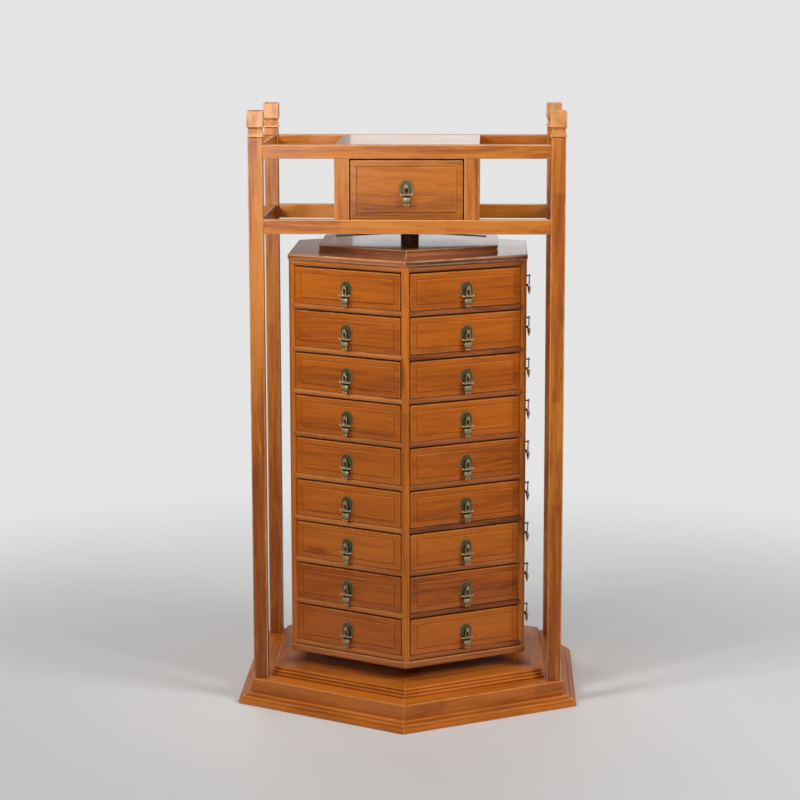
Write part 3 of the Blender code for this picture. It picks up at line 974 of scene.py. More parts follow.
@dataclass
class Finishes:
    """Materials of the cabinet."""

    plinth: Material
    stand: Material
    polished: Material
    drum: Material
    cap: Material
    drawer: Material
    case_drawer: Material
    inside: Material
    # Axle's finish: a near-black colour that paints the shade it stands in.
    axle: Material
    brass: Material

    @classmethod
    def build(cls, kit: ShaderKit) -> "Finishes":
        """Makes every material.

        Args:
            kit: Shader groups that the materials share.

        Returns:
            The materials.
        """
        golden = Palette(
            dark=(0.19, 0.040, 0.004),
            deep=(0.40, 0.099, 0.007),
            middle=(0.54, 0.146, 0.012),
            light=(0.67, 0.200, 0.024),
            worn=(0.78, 0.38, 0.14),
        )
        honey = Palette(
            dark=(0.22, 0.045, 0.004),
            deep=(0.33, 0.078, 0.005),
            middle=(0.50, 0.157, 0.013),
            light=(0.62, 0.222, 0.030),
            worn=(0.80, 0.47, 0.22),
        )
        red_gold = Palette(
            dark=(0.15, 0.028, 0.003),
            deep=(0.34, 0.074, 0.004),
            middle=(0.45, 0.108, 0.006),
            light=(0.56, 0.154, 0.012),
            worn=(0.72, 0.33, 0.11),
        )
        amber = Palette(
            dark=(0.13, 0.030, 0.003),
            deep=(0.30, 0.074, 0.004),
            middle=(0.45, 0.130, 0.008),
            light=(0.57, 0.188, 0.016),
            worn=(0.74, 0.36, 0.12),
        )
        brown = Palette(
            dark=(0.14, 0.036, 0.010),
            deep=(0.27, 0.073, 0.019),
            middle=(0.39, 0.120, 0.026),
            light=(0.56, 0.195, 0.045),
            worn=(0.74, 0.40, 0.18),
        )
        umber = Palette(
            dark=(0.07, 0.022, 0.010),
            deep=(0.16, 0.047, 0.016),
            middle=(0.27, 0.078, 0.024),
            light=(0.42, 0.130, 0.040),
            worn=(0.70, 0.42, 0.22),
        )
        raw = Palette(
            dark=(0.20, 0.085, 0.03),
            deep=(0.34, 0.16, 0.06),
            middle=(0.45, 0.235, 0.095),
            light=(0.55, 0.31, 0.14),
            worn=(0.58, 0.35, 0.17),
        )
        # Near-black painted shade for the axle, which stands in the shadow under the drum.
        axle_shade_palette = Palette(
            dark=(0.018, 0.008, 0.004),
            deep=(0.035, 0.014, 0.007),
            middle=(0.06, 0.022, 0.010),
            light=(0.09, 0.034, 0.014),
            worn=(0.14, 0.06, 0.025),
        )
        satin = Surface(gloss=(0.30, 0.42), shine=0.34, coat=0.10, coat_roughness=0.16, relief=0.0004)
        sheen = replace(satin, shine=0.40)
        polish = Surface(gloss=(0.20, 0.28), shine=0.50, coat=0.60, coat_roughness=0.07, relief=0.0001)
        bare = Surface(gloss=(0.55, 0.75), shine=0.25, coat=0.0, coat_roughness=0.30, relief=0.0006)
        axle_surface = Surface(gloss=(0.50, 0.60), shine=0.16, coat=0.0, coat_roughness=0.20, relief=0.0003)
        brass = AgedBrass(
            "aged_brass",
            grime=(0.014, 0.010, 0.004),
            tarnish=(0.090, 0.066, 0.023),
            metal=(0.17, 0.125, 0.046),
            rubbed=(0.90, 0.73, 0.43),
            gloss=(0.24, 0.38),
            patina=0.50,
        )
        return cls(
            plinth=Lacquer("plinth_lacquer", golden, satin, staves=0.22).build(kit),
            stand=Lacquer("stand_lacquer", honey, sheen, staves=0.22).build(kit),
            polished=Lacquer("polished_top", golden, polish).build(kit),
            drum=Lacquer("drum_lacquer", brown, satin).build(kit),
            cap=Lacquer("cap_lacquer", umber, polish).build(kit),
            drawer=Lacquer("drawer_lacquer", red_gold, satin).build(kit),
            case_drawer=Lacquer("case_drawer_lacquer", amber, satin).build(kit),
            inside=Lacquer("bare_inside_wood", raw, bare).build(kit),
            axle=Lacquer("smoked_axle", axle_shade_palette, axle_surface).build(kit),
            brass=brass.build(kit),
        )


class HexagonArray:
    """Geometry Nodes tree that repeats boards in levels and round the six sides of a hexagon."""

    def __init__(self) -> None:
        """Builds the tree once."""
        inputs = {
            "Geometry": "Geometry",
            "Levels": "Int",
            "Pitch": "Float",
            "Sides": "Int",
            "First Turn": "Float",
            "Fading": "Float",
            "Faded Turn": "Float",
            "Grain Spread": "Float",
            "Seed": "Int",
            "Material": "Material",
        }
        sketch = new_group("hexagon_array", "GeometryNodeTree", inputs, {"Geometry": "Geometry"})
        given = sketch.add("NodeGroupInput").outputs
        count = sketch.value("MULTIPLY", given["Levels"], given["Sides"])
        line = sketch.add("GeometryNodeMeshLine", {"Count": count, "Offset": (0.0, 0.0, 0.0)})
        index = sketch.add("GeometryNodeInputIndex").outputs["Index"]
        level = sketch.value("FLOOR", sketch.value("DIVIDE", index, given["Sides"]))
        height = sketch.add("ShaderNodeCombineXYZ", {"Z": sketch.value("MULTIPLY", level, given["Pitch"])})
        stacked = sketch.add("GeometryNodeSetPosition", {
            "Geometry": line.outputs["Mesh"],
            "Offset": height.outputs[0],
        })
        step = sketch.value("DIVIDE", 2 * math.pi, given["Sides"])
        number = sketch.value("MODULO", index, given["Sides"])
        turn = sketch.value("MULTIPLY_ADD", number, step, given["First Turn"])
        euler = sketch.add("ShaderNodeCombineXYZ", {"Z": turn})
        rotation = sketch.add("FunctionNodeEulerToRotation", {"Euler": euler.outputs[0]})
        cleared = sketch.add("GeometryNodeRemoveAttribute", {"Geometry": given["Geometry"], "Name": TONE})
        copies = sketch.add("GeometryNodeInstanceOnPoints", {
            "Points": stacked.outputs["Geometry"],
            "Instance": cleared.outputs["Geometry"],
            "Rotation": rotation.outputs["Rotation"],
        })
        ends = {"Max": given["Grain Spread"], "Seed": given["Seed"]}
        draw = sketch.add("FunctionNodeRandomValue", ends, data_type="FLOAT_VECTOR").outputs[RANDOM_VECTOR]
        shade = sketch.add("FunctionNodeRandomValue", {"Seed": given["Seed"]}, data_type="FLOAT")
        shifted = sketch.store(copies.outputs["Instances"], SHIFT, draw, "FLOAT_VECTOR", "INSTANCE")
        # Tone by facing: a darker wood on the far sides and painted light on the sides towards the key lamp,
        # palest at the given turn.
        facing = sketch.value("COSINE", sketch.value("SUBTRACT", turn, given["Faded Turn"]))
        tone = sketch.value("MULTIPLY_ADD", facing, given["Fading"], shade.outputs[RANDOM_FLOAT])
        toned = sketch.store(shifted, TONE, tone, "FLOAT", "INSTANCE")
        real = sketch.add("GeometryNodeRealizeInstances", {"Geometry": toned}).outputs["Geometry"]
        reads = [sketch.named(name, "FLOAT_VECTOR") for name in (GRAIN, SHIFT)]
        moved = sketch.store(real, GRAIN, sketch.vector("ADD", *reads), "FLOAT_VECTOR", "POINT")
        tidy = sketch.add("GeometryNodeRemoveAttribute", {"Geometry": moved, "Name": SHIFT})
        finished = sketch.add("GeometryNodeSetMaterial", {
            "Geometry": tidy.outputs["Geometry"],
            "Material": given["Material"],
        })
        sketch.add("NodeGroupOutput", {"Geometry": finished.outputs["Geometry"]})
        self.tree = sketch.tree

    def repeat(
        self,
        mesh: PieceMesh,
        material: Material,
        seed: int,
        at_corners: bool = False,
        levels: int = 1,
        pitch: float = 0.0,
        fading: float = 0.0,
    ) -> Piece:
        """Repeats a piece round the hexagon.

        Args:
            mesh: Mesh of the piece, modelled facing -Y.
            material: Its finish.
            seed: Seed of the shifts of grain and tone.
            at_corners: Whether the copies face the corners of the hexagon and not its sides.
            levels: How many levels of copies.
            pitch: Height between levels.
            fading: How much paler the copies are towards side F: a darker wood on the far sides, and painted
                light on the sides that the key lamp lights.

        Returns:
            The piece, with all copies in its mesh.
        """
        values = {
            "Levels": levels,
            "Pitch": pitch,
            "Sides": HEX_SIDES,
            "First Turn": 0.0 if at_corners else HEX_TURN / 2,
            "Fading": fading,
            # Side F, on the key lamp's side, is palest.
            "Faded Turn": math.radians(Side.F.value) + math.pi / 2,
            "Grain Spread": GRAIN_SPREAD,
            "Seed": seed,
            "Material": material,
        }
        piece = mesh.piece()
        run_tree(piece, self.tree, values)
        return smooth_shade(piece)


def run_tree(piece: Piece, tree: Tree, values: dict[str, object]) -> None:
    """Runs a Geometry Nodes tree on a piece and keeps the result as its mesh.

    Args:
        piece: The piece that goes in.
        tree: The tree.
        values: Values of the tree's inputs, by name.
    """
    modifier = piece.modifiers.new(tree.name, "NODES")
    modifier.node_group = tree
    for item in tree.interface.items_tree:
        if item.in_out == "INPUT" and item.name in values:
            modifier[item.identifier] = values[item.name]
    settle(piece)


@dataclass
class Layout:
    """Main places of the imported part, read from the boxes of its nodes."""

    foot_apothem: float
    ledge: float
    plinth_top: float
    post_x: float
    post_y: float
    top: float
    case_half: float
    rail_face: float
    rail_foot: float
    rail_top: float
    base_apothem: float
    cap_apothem: float
    cap_top: float
    pin_foot: float
    pin_top: float
    row_floor: float
    row_pitch: float
    front_low: float
    front_high: float
    finial_size: float = 0.038

    @classmethod
    def read(cls) -> "Layout":
        """Reads the places from the frame.

        Returns:
            The places.
        """
        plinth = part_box("plinth")
        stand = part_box("stand_frame")
        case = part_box("gallery_case")
        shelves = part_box("drum_shelves")
        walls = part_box("drum_partitions")
        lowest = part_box("drawer_a9")
        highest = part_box("drawer_a1")
        half_finial = cls.finial_size / 2
        return cls(
            foot_apothem=plinth[1].x,
            ledge=stand[0].z - SEAT_GAP,
            plinth_top=plinth[1].z,
            post_x=stand[1].x - half_finial,
            post_y=stand[1].y - half_finial,
            top=stand[1].z,
            case_half=case[1].x,
            rail_face=case[1].y,
            rail_foot=case[0].z,
            rail_top=case[1].z,
            base_apothem=shelves[1].x,
            cap_apothem=walls[1].x,
            cap_top=walls[1].z,
            pin_foot=shelves[0].z,
            pin_top=shelves[1].z,
            row_floor=lowest[0].z - SEAT_GAP,
            row_pitch=(highest[0].z - lowest[0].z) / (Drum.row_count - 1),
            front_low=SEAT_GAP,
            front_high=lowest[1].z - lowest[0].z + SEAT_GAP,
        )


@dataclass
class Plinth:
    """Stepped hexagonal base: a moulded foot with reeds, a riser, and a reeded inner step."""

    layout: Layout
    finishes: Finishes
    array: HexagonArray
    foot_projection: float = 0.032
    foot_arris: float = 0.0012
    lip_height: float = 0.0120
    lip_rounding: float = 0.0055
    lip_margin: float = 0.0055
    moulding_top: float = 0.0265
    moulding_margin: float = 0.004
    foot_reeds: int = 2
    foot_reed_bulge: float = 0.0030
    riser_rounding: float = 0.0030
    step_inset: float = 0.026
    step_reeds: int = 3
    step_reed_bulge: float = 0.0026
    step_batter: float = 0.009
    border: float = 0.085
    overlap: float = 0.016
    panel_drop: float = 0.0008
    board: float = 0.030
    deck: float = 0.022
    bearer: float = 0.090

    def build(self) -> None:
        """Makes the foot, the deck inside it, the bearer under the deck, the step and the step's panel."""
        place = self.layout
        riser = place.foot_apothem - self.foot_projection
        step = place.post_x - self.step_inset
        foot = PieceMesh("plinth_foot", seed=101)
        foot.add(mitred(self._foot_section(riser, step - self.overlap), rubbed=CORNER_WEAR_AND_GLINT))
        piece = self.array.repeat(foot, self.finishes.plinth, seed=11)
        dress(piece, "stand", ["plinth"])
        ceiling = place.ledge - self.deck
        deck = PieceMesh("plinth_deck", seed=104)
        deck.add(prism(hexagon(step - self.overlap - MITRE_GAP), ceiling, place.ledge))
        dress(smooth_shade(deck.piece(self.finishes.inside)), "stand")
        bearer = PieceMesh("plinth_bearer", seed=105)
        half = self.bearer / 2
        reach = riser - self.board
        bearer.add(bar((-half, 0.0), (half, ceiling), 0.0, -reach, reach))
        dress(smooth_shade(bearer.piece(self.finishes.inside)), "stand")
        rim = PieceMesh("plinth_step", seed=102)
        inner = step - self.border
        rim.add(mitred(self._step_section(step, inner), rubbed=CORNER_WEAR_AND_GLINT))
        dress(self.array.repeat(rim, self.finishes.plinth, seed=12), "stand")
        panel = PieceMesh("plinth_panel", seed=103)
        panel.add(prism(hexagon(inner - MITRE_GAP), place.ledge, place.plinth_top - self.panel_drop))
        dress(smooth_shade(panel.piece(self.finishes.plinth)), "stand")

    def _foot_section(self, riser: float, inner: float) -> Outline:
        """Section of a foot board: lip, reeds, riser, the ledge under the posts, and the deck's edge inside.

        Args:
            riser: Distance of the riser's face from the axis.
            inner: Distance of the ledge's inner edge from the axis.

        Returns:
            The section.
        """
        outer = self.layout.foot_apothem
        inside = riser - self.board
        ceiling = self.layout.ledge - self.deck
        moulding = reeds(
            (-(outer - self.lip_margin), self.lip_height),
            (-(riser + self.moulding_margin), self.moulding_top),
            self.foot_reeds,
            self.foot_reed_bulge,
        )
        # Painted shade in the grooves of the reeds; wear and painted highlight on their crests.
        return ease([
            (-inner, ceiling, 0.0),
            (-inside, ceiling, 0.0),
            (-inside, 0.0, 0.0),
            (-outer, 0.0, self.foot_arris),
            (-outer, self.lip_height, self.lip_rounding),
            *moulding,
            (-riser, self.moulding_top, 0.0),
            (-riser, self.layout.ledge, self.riser_rounding),
            (-inner, self.layout.ledge, 0.0),
        ], grooves=moulding[::REED_STEPS], crests=moulding[REED_STEPS // 2::REED_STEPS])

    def _step_section(self, step: float, inner: float) -> Outline:
        """Section of a step board: reeds up its face and a flat top.

        Args:
            step: Distance of the face's foot from the axis.
            inner: Distance of the board's inner edge from the axis.

        Returns:
            The section.
        """
        low, high = self.layout.ledge, self.layout.plinth_top
        face = reeds((-step, low), (-(step - self.step_batter), high), self.step_reeds, self.step_reed_bulge)
        outline = [(-inner, low, 0.0), *face, (-inner, high, 0.0)]
        # Painted shade in the grooves of the reeds; wear and painted highlight on their crests.
        return ease(outline, grooves=face[:-1:REED_STEPS], crests=face[REED_STEPS // 2::REED_STEPS])


@dataclass
class Stand:
    """Four posts with finials and the upper and lower rails between them."""

    layout: Layout
    finishes: Finishes
    post_size: float = 0.036
    post_arris: float = 0.0028
    shoulder: float = 0.018
    groove: float = 0.0014
    neck_height: float = 0.0225
    neck_waist: float = 0.0335
    neck_steps: int = 10
    # Painted highlight on each finial's neck and block, for the sheen of the light on them.
    finial_wear: float = 0.9
    neck_bow: float = 0.84
    waist_bias: float = 1.60
    block_size: float = 0.0402
    block_height: float = 0.0410
    block_rounding: float = 0.0042
    finial_arris: float = 0.0020
    rail_thickness: float = 0.028
    lower_height: float = 0.036
    upper_height: float = 0.034
    rail_arris: float = 0.0026
    # Painted shade: each post darkens towards its foot, where less light falls.
    ageing: float = 1.10
    shaft_steps: int = 6
    post_seed: int = 134

    def build(self) -> None:
        """Makes the posts and the rails."""
        nodes = ["stand_frame"]
        for x_sign, x_name in ((-1, "left"), (1, "right")):
            for y_sign, y_name in ((-1, "front"), (1, "rear")):
                post = PieceMesh(f"post_{y_name}_{x_name}", seed=self.post_seed + 2 * x_sign + y_sign)
                centre = Vector((x_sign * self.layout.post_x, y_sign * self.layout.post_y, 0.0))
                post.add(self._post(), axes(Z_AXIS, X_AXIS, Y_AXIS, centre), self.ageing)
                dress(smooth_shade(post.piece(self.finishes.stand)), "stand", nodes)
                nodes = []
        low, top = self.layout.rail_foot, self.layout.rail_top
        self._rails("lower_rail", low, low + self.lower_height, seed=280)
        self._rails("upper_rail", top - self.upper_height, top, seed=142)

    def _post(self) -> Board:
        """Post standing along X: a square shaft, a groove, a waisted neck and a block with a rounded top.

        Returns:
            The post.
        """
        half = self.post_size / 2
        block = self.block_size / 2
        shoulder = self.layout.rail_top + self.shoulder
        block_foot = self.layout.top - self.block_height
        neck_foot = block_foot - self.neck_height
        foot = self.layout.ledge + SEAT_GAP
        rise = (shoulder - self.groove - foot) / self.shaft_steps
        levels = [(half, foot + rise * k, 0.0) for k in range(self.shaft_steps + 1)]
        levels += [
            (half - self.groove, shoulder, 0.0),
            # Painted shade in the groove under the neck.
            (half - self.groove, neck_foot - self.groove, GROOVE_SHADE),
            (block, neck_foot, self.finial_wear),
        ]
        waist = self.neck_waist / 2
        # The neck's painted highlight is strongest at its foot.
        for k in range(self.neck_steps + 1):
            share = k / self.neck_steps
            dip = (block - waist) * math.sin(math.pi * self.neck_bow * share ** self.waist_bias)
            height = neck_foot + self.groove + (self.neck_height - self.groove) * share
            levels.append((block - dip, height, self.finial_wear * (1.0 - share)))
        levels.append((block - self.groove / 2, block_foot, 0.0))
        levels.append((block, block_foot + self.groove / 2, self.finial_wear))
        for inset, drop in quarter_round(self.block_rounding):
            levels.append((block - inset, self.layout.top - drop, self.finial_wear))
        rings = []
        for size, height, _ in levels:
            arris = self.post_arris if height <= shoulder else self.finial_arris
            ring = eased_rectangle((-size, -size), (size, size), arris)
            rings.append([Vector((height, a, b)) for a, b in ring.points])
        return skin(rings, edges=ring.wear, bands=[wear for _, _, wear in levels])

    def _rails(self, name: str, low: float, high: float, seed: int) -> None:
        """Makes the four rails at one height, each between two posts.

        Args:
            name: Start of the rails' names.
            low: Their underside.
            high: Their top.
            seed: Seed of the first one.
        """
        half = self.post_size / 2
        face_y = self.layout.rail_face
        face_x = self.layout.post_x + half - (self.layout.post_y + half - face_y)
        runs = {
            "front": (X_AXIS, -Y_AXIS, face_y, self.layout.post_x - half),
            "rear": (X_AXIS, Y_AXIS, face_y, self.layout.post_x - half),
            "left": (Y_AXIS, -X_AXIS, face_x, self.layout.post_y - half),
            "right": (Y_AXIS, X_AXIS, face_x, self.layout.post_y - half),
        }
        section = eased_rectangle((-self.rail_thickness, low), (0.0, high), self.rail_arris)
        for number, (side, (along, out, face, reach)) in enumerate(runs.items()):
            rail = PieceMesh(f"{name}_{side}", seed + number)
            rail.add(straight(section, -reach, reach), axes(along, out, Z_AXIS, out * face))
            dress(smooth_shade(rail.piece(self.finishes.stand)), "stand")


@dataclass
class GalleryCase:
    """Case of the gallery drawer between the rails: stiles, boards, back panel and the pivot's block."""

    layout: Layout
    finishes: Finishes
    stand: Stand
    stile_width: float = 0.037
    board: float = 0.015
    side_inset: float = 0.003
    back_panel: float = 0.008
    pivot_block: float = 0.110
    arris: float = 0.0024

    def build(self) -> None:
        """Makes the stiles, the boards and the pivot block."""
        place = self.layout
        low = place.rail_foot + self.stand.lower_height
        high = place.rail_top - self.stand.upper_height
        outer = place.case_half
        opening = outer - self.stile_width
        back = place.rail_face - self.stand.rail_thickness
        stiles = PieceMesh("gallery_stiles", seed=345)
        for x_sign in (-1, 1):
            for y_sign in (-1, 1):
                x_low, x_high = sorted((x_sign * opening, x_sign * outer))
                y_low, y_high = sorted((y_sign * back, y_sign * place.rail_face))
                stile = bar((x_low, y_low), (x_high, y_high), self.arris, low, high)
                stiles.add(stile, axes(Z_AXIS, X_AXIS, Y_AXIS))
        dress(smooth_shade(stiles.piece(self.finishes.stand)), "stand", ["gallery_case"])
        top = PieceMesh("gallery_top_board", seed=302)
        reach = back - SEAT_GAP
        under = place.rail_top - self.board
        top.add(bar((-reach, under), (reach, place.rail_top), self.arris / 2, -outer, outer))
        dress(smooth_shade(top.piece(self.finishes.polished)), "stand")
        boards = PieceMesh("gallery_boards", seed=303)
        boards.add(bar((-reach, low - self.board), (reach, low), self.arris / 2, -outer, outer))
        inner = opening + self.side_inset
        middle = (place.rail_face + back) / 2
        for x_sign in (-1, 1):
            x_low, x_high = sorted((x_sign * inner, x_sign * (inner + self.board)))
            side = bar((x_low, low), (x_high, high), self.arris / 2, -reach, reach)
            boards.add(side, axes(Y_AXIS, X_AXIS, Z_AXIS))
        half = self.back_panel / 2
        boards.add(bar((middle - half, low), (middle + half, high), self.arris / 2, -opening, opening))
        half = self.pivot_block / 2
        boards.add(bar((-half, place.rail_foot), (half, low - self.board), self.arris, -half, half))
        dress(smooth_shade(boards.piece(self.finishes.stand)), "stand")


@dataclass
class Drum:
    """Hexagonal drum: cap, base, corner posts, half-round rails, partitions, boards and the central post."""

    layout: Layout
    finishes: Finishes
    array: HexagonArray
    row_count: ClassVar[int] = 9
    base_overhang: float = 0.0017
    base_height: float = 0.0183
    base_border: float = 0.080
    base_rounding: float = 0.0050
    rail_height: float = 0.014
    rail_depth: float = 0.030
    rail_rounding: float = 0.0060
    rail_setback: float = 0.00015
    rail_end: float = 0.0096
    post_half: float = 0.01025
    post_depth: float = 0.028
    post_edge: float = 0.0090
    post_nose: float = 0.0090
    wall: float = 0.012
    core: float = 0.055
    axle: float = 0.023
    axle_bead: float = 0.0035
    pin: float = 0.012
    cap_height: float = 0.0145
    # Kept just under the radius below which roundings get wear, so the cap's edges take a painted highlight
    # line.
    cap_rounding: float = 0.0038
    cap_step_setback: float = 0.074
    cap_border_overlap: float = 0.020
    cap_lip: float = 0.0026
    cap_lip_ease: float = 0.25
    cap_cove: float = 0.0022
    cap_rim: float = 0.030
    cap_dish: float = 0.0022
    # Darker wood away from side F, and painted light on the sides towards the key lamp.
    fading: float = 1.2

    @property
    def apothem(self) -> float:
        """Distance of the rails' faces from the axis."""
        return self.layout.base_apothem - self.base_overhang

    @property
    def rows_low(self) -> float:
        """Underside of the lowest rail."""
        return self.layout.row_floor - self.rail_height

    @property
    def cap_low(self) -> float:
        """Underside of the cap."""
        return self.rows_low + self.row_count * self.layout.row_pitch + self.rail_height

    def build(self) -> None:
        """Makes every piece of the drum but its drawers."""
        self._rails()
        self._corner_posts()
        self._inside()
        self._base()
        self._cap()
        self._axle()

    def _rails(self) -> None:
        """Half-round rails over, between and under the rows, which run into the corner posts."""
        face = self.apothem - self.rail_setback
        section = ease([
            (-face, 0.0, self.rail_rounding),
            (-face, self.rail_height, self.rail_rounding),
            (-face + self.rail_depth, self.rail_height, 0.0),
            (-face + self.rail_depth, 0.0, 0.0),
        ])
        rails = PieceMesh("drum_rails", seed=401)
        rails.add(mitred(section, self.rail_end), Matrix.Translation((0.0, 0.0, self.rows_low)))
        made = self.array.repeat(
            rails,
            self.finishes.drum,
            seed=41,
            levels=self.row_count + 1,
            pitch=self.layout.row_pitch,
            fading=self.fading,
        )
        dress(made, "drum", ["drum_shelves"])

    def _corner_posts(self) -> None:
        """Posts on the corners, rounded on the nose and on the edges beside the drawers."""
        corner = self.apothem / HEX_COS
        edge = corner - self.post_half * HEX_TAN
        back = corner - self.post_depth
        section = ease([
            (-self.post_half, -back, 0.0),
            (-self.post_half, -edge, self.post_edge),
            (0.0, -corner, self.post_nose),
            (self.post_half, -edge, self.post_edge),
            (self.post_half, -back, 0.0),
        ])
        posts = PieceMesh("drum_corner_posts", seed=402)
        posts.add(straight(section, self.rows_low, self.cap_low), axes(Z_AXIS, X_AXIS, Y_AXIS))
        made = self.array.repeat(
            posts,
            self.finishes.plinth,
            seed=42,
            at_corners=True,
            fading=self.fading / 2,
        )
        dress(made, "drum", ["drum_partitions"])

    def _inside(self) -> None:
        """Radial partitions and the boards that the drawers run on."""
        corner = self.apothem / HEX_COS
        half = self.wall / 2
        reach = corner - self.post_depth
        walls = PieceMesh("drum_partition_boards", seed=403)
        wall = bar((-half, self.rows_low), (half, self.cap_low), 0.0, self.core, reach)
        walls.add(wall, axes(-Y_AXIS, X_AXIS, Z_AXIS))
        made = self.array.repeat(walls, self.finishes.inside, seed=43, at_corners=True)
        dress(made, "drum")
        front = self.apothem - self.rail_setback - self.rail_depth - SEAT_GAP
        section = eased_rectangle((-front, 0.0), (-self.core, self.rail_height), 0.0)
        boards = PieceMesh("drum_shelf_boards", seed=404)
        clear = half / HEX_COS + SEAT_GAP
        boards.add(mitred(section, clear), Matrix.Translation((0.0, 0.0, self.rows_low)))
        made = self.array.repeat(
            boards,
            self.finishes.inside,
            seed=44,
            levels=self.row_count + 1,
            pitch=self.layout.row_pitch,
        )
        dress(made, "drum")

    def _base(self) -> None:
        """Base slab: mitred boards round a panel."""
        low, high = self.rows_low - self.base_height, self.rows_low - SEAT_GAP
        outer = self.layout.base_apothem
        inner = outer - self.base_border
        section = ease([
            (-inner, low, 0.0),
            (-outer, low, self.base_rounding),
            (-outer, high, self.base_rounding / 2),
            (-inner, high, 0.0),
        ])
        base = PieceMesh("drum_base_boards", seed=405)
        base.add(mitred(section, rubbed=CORNER_WEAR_AND_GLINT))
        made = self.array.repeat(base, self.finishes.drum, seed=45, fading=self.fading / 2)
        dress(made, "drum")
        panel = PieceMesh("drum_base_panel", seed=406)
        panel.add(prism(hexagon(inner - MITRE_GAP), low + self.base_rounding, high))
        dress(smooth_shade(panel.piece(self.finishes.drum)), "drum")

    def _cap(self) -> None:
        """Cap: mitred border boards with a rounded edge, a coved step on them and a dished panel inside."""
        low = self.cap_low + SEAT_GAP
        ledge = self.cap_low + self.cap_height
        top = self.layout.cap_top
        outer = self.layout.cap_apothem
        step = outer - self.cap_step_setback
        inner = step - self.cap_border_overlap
        section = ease([
            (-inner, low, 0.0),
            (-outer, low, self.cap_rounding),
            (-outer, ledge, self.cap_rounding),
            (-inner, ledge, 0.0),
        ])
        border = PieceMesh("drum_cap_border", seed=407)
        border.add(mitred(section, rubbed=CORNER_WEAR_AND_GLINT))
        made = self.array.repeat(border, self.finishes.cap, seed=46, fading=self.fading)
        dress(made, "drum")
        rim_inner = step - self.cap_rim
        cove_low, cove_high = ledge + self.cap_lip, top - self.cap_lip
        cove = reeds((-step, cove_low), (-step, cove_high), 1, -self.cap_cove)
        section = ease([
            (-rim_inner, ledge, 0.0),
            (-step, ledge, 0.0),
            (-step, cove_low, self.cap_lip * self.cap_lip_ease),
            *cove[1:-1],
            (-step, cove_high, self.cap_lip * self.cap_lip_ease),
            (-step, top, self.cap_lip / 2),
            (-rim_inner, top, 0.0),
        ])
        rim = PieceMesh("drum_cap_step", seed=408)
        rim.add(mitred(section, rubbed=CORNER_WEAR_AND_GLINT))
        dress(self.array.repeat(rim, self.finishes.cap, seed=47), "drum")
        panel = PieceMesh("drum_cap_panel", seed=409)
        panel.add(prism(hexagon(rim_inner - MITRE_GAP), self.cap_low, top - self.cap_dish))
        dress(smooth_shade(panel.piece(self.finishes.cap)), "drum")

    def _axle(self) -> None:
        """Central post with a bead at its foot and the pins that it turns on."""
        place = self.layout
        foot = place.plinth_top + SEAT_GAP
        head = place.rail_foot - SEAT_GAP
        base = self.rows_low - self.base_height
        bead = self.axle_bead
        collar = foot + 2 * bead
        profile = [
            (self.pin, place.pin_foot),
            (self.pin, foot),
            (self.axle + bead, foot),
            (self.axle + bead, collar),
            (self.axle, collar + bead),
            (self.axle, base),
            (self.core, base + bead),
            (self.core, self.cap_low - bead),
            (self.axle, self.cap_low),
            (self.axle, head),
            (self.pin, head),
            (self.pin, place.pin_top),
        ]
        post = PieceMesh("drum_central_post", seed=410)
        post.add(turned(profile), axes(Z_AXIS, X_AXIS, Y_AXIS))
        dress(smooth_shade(post.piece(self.finishes.axle)), "drum")


